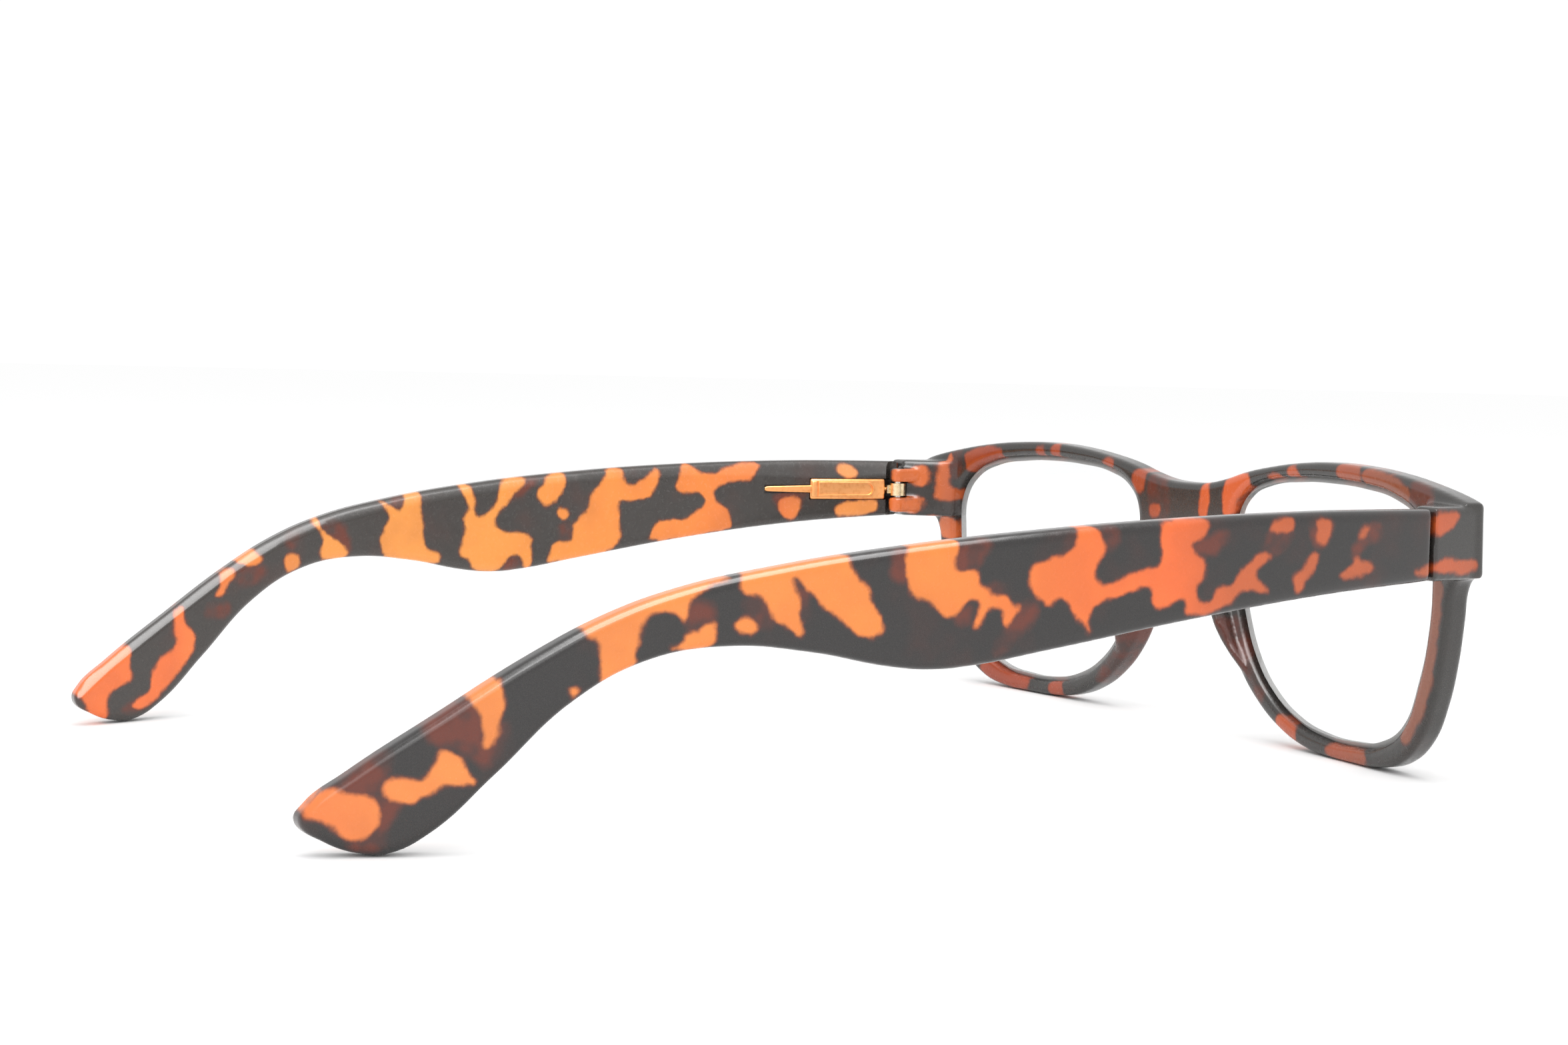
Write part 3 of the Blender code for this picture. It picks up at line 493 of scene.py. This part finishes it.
def moulded(mesh):
    """The mesh as one soft-edged skin, as it comes out of a mould."""
    holder = new_piece("moulded", mesh)
    skin = holder.modifiers.new("skin", "REMESH")
    skin.mode = "VOXEL"
    skin.voxel_size = VOXEL * MM
    soft = holder.modifiers.new("soft", "SMOOTH")
    soft.factor = SMOOTHING_SHARE
    soft.iterations = SMOOTHING_PASSES
    made = evaluated_mesh(holder)
    bpy.data.objects.remove(holder)
    return made


def combined(mesh, others, operation):
    """The mesh after each of the others is joined to it, or cut from it."""
    holder = new_piece("whole", mesh)
    helpers = []
    for other in others:
        helper = new_piece("helper", other)
        helpers.append(helper)
        step = holder.modifiers.new("step", "BOOLEAN")
        step.operation = operation
        step.solver = "MANIFOLD"
        step.object = helper
    made = evaluated_mesh(holder)
    for used in helpers + [holder]:
        bpy.data.objects.remove(used)
    return made


def smooth_piece(name, mesh, sharp_angle=38):
    """A finished piece, smooth but for its sharp edges."""
    mesh.shade_smooth()
    mesh.set_sharp_from_angle(angle=math.radians(sharp_angle))
    return new_piece(name, mesh)


def heights(span):
    """Heights above the ground, from heights below the gap's top corner."""
    return tuple(height + GAP_TOP_HEIGHT for height in span)


def mirrored(mesh):
    """The mesh's twin on the other side of the glasses."""
    twin = mesh.copy()
    twin.transform(Matrix.Diagonal((-1, 1, 1, 1)))
    twin.flip_normals()
    return twin


# ------------------------------------------------------------------ mottle

def softened(outline):
    """The outline with its corners cut a quarter of the way along, and again, as a closed row of points."""
    points = np.array(outline, dtype=float)
    for _ in range(CORNER_CUTS):
        following = np.roll(points, -1, axis=0)
        near = points * 0.75 + following * 0.25
        far = points * 0.25 + following * 0.75
        points = np.stack((near, far), axis=1).reshape(-1, 2)
    return points


def depth_inside(places, outlines):
    """How deep each place lies inside the nearest outline, in mm, and below zero outside."""
    depth = np.full(len(places), -DEPTH_REACH)
    for outline in outlines:
        points = softened(outline)
        low, high = points.min(axis=0) - DEPTH_REACH, points.max(axis=0) + DEPTH_REACH
        near = np.nonzero(((places > low) & (places < high)).all(axis=1))[0]
        if not len(near):
            continue
        place = places[near]
        distance = np.full(len(near), DEPTH_REACH)
        inside = np.zeros(len(near), dtype=bool)
        for start, end in zip(points, np.roll(points, -1, axis=0)):
            along = end - start
            share = np.clip(((place - start) @ along) / (along @ along), 0, 1)
            gap = np.hypot(*(place - start - share[:, None] * along).T)
            distance = np.minimum(distance, gap)
            if start[1] != end[1]:
                crossing = start[0] + (place[:, 1] - start[1]) * along[0] / along[1]
                between = (start[1] > place[:, 1]) != (end[1] > place[:, 1])
                inside ^= between & (place[:, 0] < crossing)
        depth[near] = np.maximum(depth[near], np.where(inside, distance, -distance))
    return depth


def store(mesh, name, values):
    """Keep one number for each vertex, for the material to read."""
    layer = mesh.attributes.new(name, "FLOAT", "POINT")
    layer.data.foreach_set("value", values.astype(np.float32))


# ------------------------------------------------------------------ front frame and lenses

def front_y(x, height):
    """The front's middle surface, from the gap."""
    return FRONT_MIDDLE_Y + FRONT_WRAP * (x / WRAP_REACH) ** 2 + FRONT_TILT * height


def onto_front(x, y, z):
    """From a flat plate in XY to its place in the curved front."""
    return x, front_y(x, y) - z - GAP_TO_CENTRE, y + GAP_TOP_HEIGHT


def off_front(x, y, z):
    """From a place on the glasses to the flat state of the front."""
    height = z - GAP_TOP_HEIGHT
    return x, height, front_y(x, height) - y - GAP_TO_CENTRE


def level_plate(plan, span, edge_round, **detail):
    """A plate between two heights, from a plan of (outward, along)."""
    low, high = heights(span)
    plate = outline_mesh([plan], high - low, edge_round, **detail)
    return move_points(plate, lambda x, y, z: (x, y - GAP_TO_CENTRE, z + (high + low) / 2))


def end_piece():
    """The block that runs back from the left rim to the temple."""
    return level_plate(END_PIECE_PLAN, END_PIECE_HEIGHTS, END_PIECE_ROUND)


def lug(span):
    """One hinge lug: a plate that is round about the screw's axis and runs into the end piece."""
    turns = [math.pi * step / LUG_ARC_STEPS for step in range(LUG_ARC_STEPS + 1)]
    plan = [(HINGE_X + LUG_RADIUS * math.cos(turn), HINGE_Y + LUG_RADIUS * math.sin(turn), "corner")
            for turn in turns]
    plan += [(HINGE_X - LUG_RADIUS, HINGE_Y - LUG_REACH, "corner"),
             (HINGE_X + LUG_RADIUS, HINGE_Y - LUG_REACH, "corner")]
    return level_plate(plan, span, LUG_ROUND, steps=1, round_steps=2)


def signed_power(value, power):
    """The power of a number's size, with the number's own sign."""
    return math.copysign(abs(value) ** power, value)


def nose_pad():
    """A moulded pad: a rounded fin that stands back from the nose side of the left rim."""
    nose_edge = sorted((height, x) for x, height, *_ in FRONT_NOSE)
    foot, top = PAD_BACK[0][0], PAD_BACK[-1][0]
    shape = bmesh.new()
    rings = []
    for row in range(PAD_ROWS + 1):
        height = top + (foot - top) * row / PAD_ROWS
        middle_x = read_off(nose_edge, height) + PAD_INSET
        reach = read_off(PAD_BACK, height)
        verts = []
        for step in range(PAD_RING):
            turn = 2 * math.pi * step / PAD_RING
            side = signed_power(math.cos(turn), PAD_SIDE_POWER) * PAD_THICKNESS / 2
            depth = reach / 2 + signed_power(math.sin(turn), PAD_BACK_POWER) * reach / 2
            x = middle_x + side + PAD_SPREAD * depth
            y = front_y(x, height) + depth - GAP_TO_CENTRE
            verts.append(shape.verts.new(Vector((x, y, height + GAP_TOP_HEIGHT)) * MM))
        rings.append(verts)
    for above, below in zip(rings, rings[1:]):
        for number in range(PAD_RING):
            following = (number + 1) % PAD_RING
            shape.faces.new((above[number], above[following], below[following], below[number]))
    shape.faces.new(rings[0])
    shape.faces.new(list(reversed(rings[-1])))
    bmesh.ops.recalc_face_normals(shape, faces=shape.faces)
    return finished(shape, "nose_pad")


def axis_rod(radius, span):
    """A cutter round the left screw's axis."""
    return rod_mesh(radius, heights(span), (HINGE_X, HINGE_Y - GAP_TO_CENTRE))


def front_frame():
    """Both rims, the bridge, the end pieces, the nose pads and the hinge lugs, as one moulding."""
    half = FRONT_TOP + FRONT_SIDE + RIM_FOOT + FRONT_NOSE
    other_half = [(-place[0], *place[1:]) for place in reversed(half[1:-1])]
    openings = [LENS_OPENING, [(-x, height) for x, height in LENS_OPENING]]
    plate = outline_mesh([half + other_half] + openings, FRONT_THICKNESS, FRONT_EDGE_ROUND)
    left_parts = [end_piece(), lug(UPPER_LUG), lug(LOWER_LUG), nose_pad()]
    parts = left_parts + [mirrored(part) for part in left_parts]
    flat_parts = [move_points(part, off_front) for part in parts]
    skin = move_points(moulded(joined([plate] + flat_parts)), onto_front)
    left_cuts = [
        axis_rod(EYE_CLEARANCE_RADIUS, (LOWER_LUG[1], UPPER_LUG[0])),
        axis_rod(SCREW_HOLE_RADIUS, (LOWER_LUG[0] - CUT_OVERSHOOT, UPPER_LUG[1] + CUT_OVERSHOOT)),
        axis_rod(SCREW_SEAT_RADIUS, (UPPER_LUG[1] - SCREW_SEAT_DEPTH, UPPER_LUG[1] + CUT_OVERSHOOT)),
    ]
    skin = combined(skin, left_cuts + [mirrored(cut) for cut in left_cuts], "DIFFERENCE")
    x, y, z = points_of(skin).T
    height = z - GAP_TOP_HEIGHT
    across = np.stack((x, height), axis=1)
    along = np.stack((y + GAP_TO_CENTRE, height), axis=1)
    side_share = (np.clip((np.abs(x) - SIDE_START_X) / SIDE_BLEND, 0, 1)
                  * np.clip((height - SIDE_FOOT) / SIDE_FOOT_BLEND, 0, 1))
    amber_depth = (depth_inside(across, FRONT_AMBER) * (1 - side_share)
                   + depth_inside(along, END_PIECE_AMBER) * side_share)
    store(skin, "amber_depth", amber_depth)
    store(skin, "brown_depth", depth_inside(across, FRONT_BROWN))
    return smooth_piece("front_moulding", skin)


def sliced(mesh):
    """The flat lens cut across at even steps both ways, so that it can bend."""
    shape = bmesh.new()
    shape.from_mesh(mesh)
    across = [vert.co.x for vert in shape.verts]
    upward = [height * MM for height in LENS_SLICE_HEIGHTS]
    for normal, limits in (((1, 0, 0), across), ((0, 1, 0), upward)):
        low, high = min(limits), max(limits)
        count = int((high - low) / (LENS_SLICE * MM))
        for number in range(1, count):
            place = low + (high - low) * number / count
            bmesh.ops.bisect_plane(shape, geom=[*shape.verts, *shape.edges, *shape.faces],
                                   plane_co=[place * part for part in normal], plane_no=normal)
    shape.to_mesh(mesh)
    shape.free()
    return mesh


def crowned(x, y, z):
    """Thicken the flat lens towards its middle, on its outer side."""
    out = np.hypot(x - LENS_MIDDLE[0], y - LENS_MIDDLE[1]) / LENS_CROWN_REACH
    return x, y, z + np.where(z > 0, LENS_CROWN * np.clip(1 - out ** 2, 0, 1), 0.0)


def lens():
    """The left lens: crowned, curved with the front, with a V edge that sits in the rim's groove."""
    flat = outline_mesh([LENS_OPENING], LENS_THICKNESS, LENS_BEVEL, round_steps=1, grow=LENS_GROOVE_HOLD)
    return move_points(move_points(sliced(flat), crowned), onto_front)


# ------------------------------------------------------------------ temples

def temple_outer_x(y):
    """The temple's outer face, from the middle of the glasses."""
    reach = y / 100
    return TEMPLE_HALF_SPAN + TEMPLE_SPLAY * reach + TEMPLE_CURVE * reach ** 2


def onto_temple(x, y, z):
    """From a flat plate in XY to its place in the left temple."""
    return temple_outer_x(x) - TEMPLE_THICKNESS / 2 + z, x - GAP_TO_CENTRE, y + GAP_TOP_HEIGHT


def bevel_inner_face(x, y, z):
    """Lean the inner face outward above a ridge that starts low at the hinge and runs out."""
    band = read_off(BEVEL_BAND, x)
    share = np.clip((y - read_off(TEMPLE_TOP_EDGE, x) + band) / band, 0, 1)
    inner = np.clip(-z / (TEMPLE_THICKNESS / 2), 0, 1)
    return x, y, z + read_off(BEVEL_DEPTH, x) * share * inner


def hinge_frame():
    """The left hinge's own frame: on the screw's axis, Y along the temple."""
    axis_point = Vector((HINGE_X, HINGE_Y - GAP_TO_CENTRE, 0.0)) * MM
    return Matrix.Translation(axis_point) @ Matrix.Rotation(-math.radians(HINGE_SPLAY_DEG), 4, "Z")


def upright(outline, thickness, edge_round, x, **detail):
    """A plate from an outline of (along, height), stood up with its middle surface at x."""
    plate = outline_mesh([outline], thickness, edge_round, **detail)
    return move_points(plate, lambda along, height, z: (x + z, along, height + GAP_TOP_HEIGHT))


def panel_outline(grow):
    """The oblong panel of the spring box: round towards the hinge and square towards the tail."""
    radius = PANEL_HEIGHT / 2 + grow
    turns = [math.pi / 2 + math.pi * step / PANEL_ARC_STEPS for step in range(PANEL_ARC_STEPS + 1)]
    near = PANEL_Y[0] + PANEL_HEIGHT / 2
    outline = [(near + radius * math.cos(turn), BOX_MIDDLE_HEIGHT + radius * math.sin(turn), "corner")
               for turn in turns]
    far = PANEL_Y[1] + grow
    outline += [(far, BOX_MIDDLE_HEIGHT + side * radius, "corner") for side in (-1, 1)]
    return outline


def tail_outline():
    """The flat tail, which tapers at its tip."""
    tip = BOX_Y[1] + TAIL_LENGTH
    widths = [(BOX_Y[1] - TAIL_OVERLAP, TAIL_HALF_WIDTH), (tip - TAIL_POINT, TAIL_SHOULDER), (tip, TAIL_TIP)]
    return ([(along, BOX_MIDDLE_HEIGHT - half, "corner") for along, half in widths]
            + [(along, BOX_MIDDLE_HEIGHT + half, "corner") for along, half in reversed(widths)])


def spring_box():
    """The left spring box: a gold housing with a rimmed oblong panel, an end block and a flat tail."""
    face = BOX_X[0]
    body = box_mesh(BOX_X, BOX_Y, heights(BOX_HEIGHTS), BOX_ROUND)
    tail = upright(tail_outline(), TAIL_THICKNESS, TAIL_ROUND, face + TAIL_THICKNESS / 2, steps=1)
    rim = upright(panel_outline(RIM_WIDTH), 2 * RIM_HEIGHT, RIM_ROUND, face)
    block_heights = heights((BOX_HEIGHTS[0] + END_BLOCK_INSET, BOX_HEIGHTS[1] - END_BLOCK_INSET))
    end_block = box_mesh((face - RIM_HEIGHT, face + END_BLOCK_ROOT), END_BLOCK_Y, block_heights,
                         END_BLOCK_ROUND)
    recess = upright(panel_outline(0.0), CUT_OVERSHOOT, PANEL_ROUND, face + PANEL_SINK - CUT_OVERSHOOT / 2)
    mesh = combined(body, (tail, rim, end_block), "UNION")
    channel = rod_mesh(CHANNEL_RADIUS, CHANNEL_Y)
    shank_hole = rod_mesh(SHANK_HOLE_RADIUS, SHANK_HOLE_Y)
    lay_down = (Matrix.Translation(Vector((SHANK_X, 0, BOX_MIDDLE_HEIGHT + GAP_TOP_HEIGHT)) * MM)
                @ Matrix.Rotation(-math.pi / 2, 4, "X"))
    for bore in (channel, shank_hole):
        bore.transform(lay_down)
    mesh = combined(mesh, (recess, channel, shank_hole), "DIFFERENCE")
    mesh.transform(hinge_frame())
    return mesh


def temple():
    """The left temple's mesh, with the pocket for its spring box and the room for the hinge lugs."""
    flat = moulded(outline_mesh([TEMPLE_PROFILE], TEMPLE_THICKNESS, TEMPLE_EDGE_ROUND))
    skin = move_points(move_points(flat, bevel_inner_face), onto_temple)
    tail_half = TAIL_HALF_WIDTH + POCKET_CLEARANCE
    cutters = [
        rod_mesh(KNUCKLE_CLEARANCE_RADIUS, heights(KNUCKLE_CUT_HEIGHTS)),
        box_mesh((POCKET_INNER_X, BOX_X[1] + POCKET_CLEARANCE),
                 (POCKET_START_Y, BOX_Y[1] + POCKET_CLEARANCE),
                 heights((BOX_HEIGHTS[0] - POCKET_CLEARANCE, BOX_HEIGHTS[1] + POCKET_CLEARANCE))),
        box_mesh((POCKET_INNER_X, BOX_X[0] + TAIL_THICKNESS + 2 * POCKET_CLEARANCE),
                 (BOX_Y[1], BOX_Y[1] + TAIL_LENGTH + POCKET_CLEARANCE),
                 heights((BOX_MIDDLE_HEIGHT - tail_half, BOX_MIDDLE_HEIGHT + tail_half))),
    ]
    for cutter in cutters:
        cutter.transform(hinge_frame())
    return combined(skin, cutters, "DIFFERENCE")


# ------------------------------------------------------------------ materials

class Finish:
    """A Principled material in the making, and the patterns that feed it."""

    def __init__(self, name):
        self.material = bpy.data.materials.new(name)
        self.material.use_nodes = True
        self.nodes = self.material.node_tree.nodes
        self.links = self.material.node_tree.links
        self.shader = self.nodes["Principled BSDF"]
        self.place = self.nodes.new("ShaderNodeTexCoord").outputs["Object"]

    def noise(self, scale, detail=2.0, source=None):
        """A noise pattern of so many bumps per metre."""
        made = self.nodes.new("ShaderNodeTexNoise")
        made.inputs["Scale"].default_value = scale
        made.inputs["Detail"].default_value = detail
        self.links.new(self.place if source is None else source, made.inputs["Vector"])
        return made.outputs["Fac"]

    def stored(self, attribute):
        """The number that the mesh keeps for each vertex."""
        made = self.nodes.new("ShaderNodeAttribute")
        made.attribute_name = attribute
        return made.outputs["Fac"]

    def added(self, first, second):
        """The sum of two patterns."""
        made = self.nodes.new("ShaderNodeMath")
        made.operation = "ADD"
        self.links.new(first, made.inputs[0])
        self.links.new(second, made.inputs[1])
        return made.outputs[0]

    def ranged(self, value, span, onto=(0.0, 1.0), smooth=True):
        """The value mapped from one span onto another."""
        made = self.nodes.new("ShaderNodeMapRange")
        made.interpolation_type = "SMOOTHSTEP" if smooth else "LINEAR"
        for socket, number in zip(("From Min", "From Max", "To Min", "To Max"), (*span, *onto)):
            made.inputs[socket].default_value = number
        self.links.new(value, made.inputs["Value"])
        return made.outputs["Result"]

    def swing(self, value, reach):
        """A pattern of 0 to 1 as one of -reach to reach."""
        return self.ranged(value, (0, 1), (-reach, reach), smooth=False)

    def mixed(self, share, first, second):
        """One colour blended into another by share. Each is a colour or a socket."""
        made = self.nodes.new("ShaderNodeMix")
        made.data_type = "RGBA"
        self.links.new(share, made.inputs["Factor"])
        for socket, colour in ((made.inputs["A"], first), (made.inputs["B"], second)):
            if isinstance(colour, tuple):
                socket.default_value = (*colour, 1.0)
            else:
                self.links.new(colour, socket)
        return made.outputs["Result"]

    def tone_and_light_along(self, axis, tones_and_painted_light):
        """A colour that changes along one axis, through stops of (millimetres, colour), which here hold
        painted light and shade.
        """
        split = self.nodes.new("ShaderNodeSeparateXYZ")
        self.links.new(self.place, split.inputs["Vector"])
        first, last = tones_and_painted_light[0][0], tones_and_painted_light[-1][0]
        share = self.ranged(split.outputs[axis], (first * MM, last * MM), smooth=False)
        ramp = self.nodes.new("ShaderNodeValToRGB")
        self.links.new(share, ramp.inputs["Fac"])
        stops = ramp.color_ramp.elements
        while len(stops) < len(tones_and_painted_light):
            stops.new(0.5)
        for stop, (along, colour) in zip(stops, tones_and_painted_light):
            stop.position = (along - first) / (last - first)
            stop.color = (*colour, 1.0)
        return ramp.outputs["Color"]

    def feed(self, name, source):
        """Drive one input of the shader."""
        self.links.new(source, self.shader.inputs[name])

    def roughen(self, height, strength, distance):
        """Roughen the shader's normal by a height pattern."""
        made = self.nodes.new("ShaderNodeBump")
        made.inputs["Strength"].default_value = strength
        made.inputs["Distance"].default_value = distance
        self.links.new(height, made.inputs["Height"])
        self.feed("Normal", made.outputs["Normal"])


def tortoise(name, axis, tones_and_painted_light, brown, dark):
    """Mottled plastic: amber and red-brown patches in a near-black ground, with a satin gloss.

    The amber's colour changes along one axis of the glasses, partly as the plastic's own tone and partly as
    painted light and shade.
    """
    made = Finish(name)
    unevenness = made.added(made.swing(made.noise(scale=500), EDGE_WANDER),
                            made.swing(made.noise(scale=4000), EDGE_GRAIN))
    amber_depth = made.added(made.stored("amber_depth"), unevenness)
    brown_depth = made.added(made.stored("brown_depth"), unevenness)
    cloud = made.noise(scale=120, detail=3.0)
    small_cloud = made.noise(scale=260)
    specks = made.ranged(made.noise(scale=7000), (0.35, 0.75))
    ground = made.mixed(specks, dark, tuple(part * SPECKLE_LIFT for part in dark))
    ground = made.mixed(made.ranged(cloud, (0.5, 0.8), (0.0, 0.2)), ground, brown)
    clouded = made.mixed(made.ranged(small_cloud, (0.4, 0.65), (0.0, 0.75)), brown, ground)
    with_brown = made.mixed(made.ranged(brown_depth, BROWN_BLEND), ground, clouded)
    fringe = made.ranged(amber_depth, FRINGE_BLEND, (0.0, FRINGE_STRENGTH))
    with_fringe = made.mixed(fringe, with_brown, brown)
    # The amber along the piece carries painted light and shade from the colour tables.
    amber = made.mixed(made.ranged(cloud, (0.4, 0.7), (0.0, 0.16)), made.tone_and_light_along(axis, tones_and_painted_light), brown)
    made.feed("Base Color", made.mixed(made.ranged(amber_depth, AMBER_BLEND), with_fringe, amber))
    sheen = made.noise(scale=1500, detail=4.0)
    made.feed("Roughness", made.ranged(sheen, (0.3, 0.7), (0.2, 0.3), smooth=False))
    made.roughen(made.noise(scale=1800), strength=0.03, distance=0.00004)
    made.shader.inputs["IOR"].default_value = 1.49
    made.shader.inputs["Coat Weight"].default_value = 0.25
    made.shader.inputs["Coat Roughness"].default_value = 0.12
    return made.material


def metal(name, colour, worn, roughness):
    """Plated metal with fine drawn lines along Y and duller patches."""
    made = Finish(name)
    stretch = made.nodes.new("ShaderNodeMapping")
    stretch.inputs["Scale"].default_value = (1.0, 0.06, 1.0)
    made.links.new(made.place, stretch.inputs["Vector"])
    lines = made.noise(scale=9000, detail=3.0, source=stretch.outputs["Vector"])
    patches = made.noise(scale=1400, detail=3.0)
    made.feed("Base Color", made.mixed(made.ranged(patches, (0.45, 0.7)), colour, worn))
    span = (roughness * 0.8, roughness * 1.25)
    made.feed("Roughness", made.ranged(lines, (0.25, 0.75), span, smooth=False))
    made.roughen(lines, strength=0.15, distance=0.00003)
    made.shader.inputs["Metallic"].default_value = 1.0
    return made.material


def clear_plastic(name):
    """Clear lens plastic with a hard coating."""
    made = Finish(name)
    smears = made.noise(scale=90)
    made.feed("Roughness", made.ranged(smears, (0.4, 0.8), (0.0, 0.02)))
    made.feed("Base Color", made.mixed(smears, (0.985, 0.99, 0.99), (0.97, 0.98, 0.985)))
    made.shader.inputs["Transmission Weight"].default_value = 1.0
    made.shader.inputs["IOR"].default_value = 1.5
    return made.material


def painted_bevel_light(name):
    """The lens's edge faces: rough and frosted, with a pale grey painted on them in place of the light bent
    through the lens's bevel.
    """
    made = Finish(name)
    grind = made.noise(scale=2500, detail=4.0)
    made.feed("Base Color", made.mixed(grind, (0.42, 0.42, 0.42), (0.62, 0.62, 0.61)))
    made.feed("Roughness", made.ranged(grind, (0.3, 0.7), (0.35, 0.55)))
    made.roughen(grind, strength=0.1, distance=0.00004)
    return made.material


def white_paper():
    """Plain white paper, for the floor."""
    made = Finish("white_paper")
    fibre = made.noise(scale=300, detail=3.0)
    made.feed("Base Color", made.mixed(fibre, (0.93, 0.93, 0.93), (0.95, 0.95, 0.95)))
    made.shader.inputs["Roughness"].default_value = 0.9
    made.shader.inputs["Specular IOR Level"].default_value = 0.0
    return made.material


def dress(obj, material):
    """Give an object one material."""
    if obj.material_slots:
        for material_slot in obj.material_slots:
            material_slot.material = material
    else:
        obj.data.materials.append(material)


# ------------------------------------------------------------------ stage

def soft_light(name, place, aim, size, power, only_gloss):
    """A square studio light at place, turned towards aim. One for gloss shows only in reflections."""
    data = bpy.data.lights.new(name, "AREA")
    data.shape = "SQUARE"
    data.size = size
    data.energy = power
    made = new_piece(name, data)
    made.location = place
    made.rotation_euler = (Vector(aim) - Vector(place)).to_track_quat("-Z", "Y").to_euler()
    made.visible_diffuse = not only_gloss


def set_stage():
    """A white floor, soft white light from all round, and the camera."""
    floor_mesh = bpy.data.meshes.new("floor")
    corners = [(x * FLOOR_REACH, y * FLOOR_REACH, 0) for x, y in ((-1, -1), (1, -1), (1, 1), (-1, 1))]
    floor_mesh.from_pydata(corners, [], [(0, 1, 2, 3)])
    floor = new_piece("floor", floor_mesh)
    floor.location.z = -FLOOR_DROP
    dress(floor, white_paper())
    world = bpy.data.worlds.new("studio")
    world.use_nodes = True
    background = world.node_tree.nodes["Background"]
    background.inputs["Color"].default_value = (1.0, 1.0, 1.0, 1.0)
    background.inputs["Strength"].default_value = WORLD_STRENGTH
    bpy.context.scene.world = world
    for light in LIGHTS:
        soft_light(*light)
    camera_data = bpy.data.cameras.new("camera")
    camera_data.lens = CAMERA_LENS
    camera_data.sensor_width = CAMERA_SENSOR
    camera_data.clip_start = CAMERA_NEAR
    camera = new_piece("camera", camera_data)
    camera.location = CAMERA_PLACE
    camera.rotation_euler = [math.radians(angle) for angle in CAMERA_TURN_DEG]
    bpy.context.scene.camera = camera
    bpy.context.scene.view_settings.view_transform = "Standard"


# ------------------------------------------------------------------ building

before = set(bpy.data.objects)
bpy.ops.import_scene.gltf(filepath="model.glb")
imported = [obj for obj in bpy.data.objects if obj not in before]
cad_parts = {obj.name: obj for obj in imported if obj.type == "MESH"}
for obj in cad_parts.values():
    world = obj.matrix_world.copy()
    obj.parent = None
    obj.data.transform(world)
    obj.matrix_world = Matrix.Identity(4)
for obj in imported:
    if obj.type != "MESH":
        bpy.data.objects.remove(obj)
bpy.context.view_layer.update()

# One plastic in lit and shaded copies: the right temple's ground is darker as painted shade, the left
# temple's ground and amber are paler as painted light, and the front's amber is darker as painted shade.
temple_plastics_lit_and_shaded = {
    "right": tortoise("right_temple_plastic_painted_shade", "Y", RIGHT_TONES_AND_PAINTED_LIGHT, brown=(0.12, 0.02, 0.008),
                      dark=(0.014, 0.0125, 0.012)),
    "left": tortoise("left_temple_plastic_painted_light", "Y", LEFT_TONES_AND_PAINTED_LIGHT, brown=(0.13, 0.026, 0.012),
                     dark=(0.032, 0.028, 0.025)),
}
front_plastic_painted_shade = tortoise("front_plastic_painted_shade", "X", FRONT_TONES_AND_PAINTED_SHADE, brown=(0.1, 0.02, 0.01),
                         dark=(0.022, 0.02, 0.018))
lens_plastic = clear_plastic("lens_plastic")
lens_edge_painted_light = painted_bevel_light("lens_edge_painted_light")
gold = metal("gold_plate", (0.95, 0.44, 0.17), (0.86, 0.36, 0.12), roughness=0.34)
pale_gold = metal("pale_gold", (0.86, 0.7, 0.45), (0.7, 0.52, 0.3), roughness=0.24)
steel = metal("screw_steel", (0.72, 0.7, 0.66), (0.5, 0.48, 0.45), roughness=0.25)

moulding = front_frame()
dress(moulding, front_plastic_painted_shade)
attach(moulding, "front")
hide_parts("front_frame")

left_temple = temple()
left_lens = lens()
left_box = spring_box()
sides = (
    ("left", 1, left_temple, left_lens, left_box, LEFT_TEMPLE_AMBER, LEFT_TEMPLE_BROWN),
    ("right", -1, mirrored(left_temple), mirrored(left_lens), mirrored(left_box), RIGHT_TEMPLE_AMBER,
     RIGHT_TEMPLE_BROWN),
)
for side, sign, temple_mesh, lens_mesh, box, amber_patches, brown_patches in sides:
    _, y_values, z_values = points_of(temple_mesh).T
    seen_places = np.stack((y_values + GAP_TO_CENTRE, z_values - GAP_TOP_HEIGHT), axis=1)
    store(temple_mesh, "amber_depth", depth_inside(seen_places, amber_patches))
    store(temple_mesh, "brown_depth", depth_inside(seen_places, brown_patches))
    arm = smooth_piece(f"temple_moulding_{side}", temple_mesh)
    dress(arm, temple_plastics_lit_and_shaded[side])
    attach(arm, f"temple_{side}")
    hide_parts(f"temple_{side}")
    glass = smooth_piece(f"lens_blank_{side}", lens_mesh, sharp_angle=25)
    dress(glass, lens_plastic)
    # The edge faces take the pale grey that is painted in place of the light bent through the bevel.
    glass.data.materials.append(lens_edge_painted_light)
    for face in glass.data.polygons:
        is_edge = abs(face.normal.y) < EDGE_FACING
        face.material_index = 1 if is_edge else 0
    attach(glass, "front")
    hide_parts(f"lens_{side}")
    housing = smooth_piece(f"spring_housing_{side}", box, sharp_angle=30)
    dress(housing, gold)
    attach(housing, f"temple_{side}")
    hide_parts(f"spring_box_{side}")
    coil = new_piece(f"spring_coil_{side}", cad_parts[f"hinge_spring_{side}"].data.copy())
    dress(coil, steel)
    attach(coil, f"hinge_eye_{side}")
    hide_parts(f"hinge_spring_{side}")
    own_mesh(coil)
    for node, finish in (("hinge_eye", pale_gold), ("stop_nut", pale_gold), ("hinge_screw", steel)):
        dress(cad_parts[f"{node}_{side}"], finish)

set_stage()
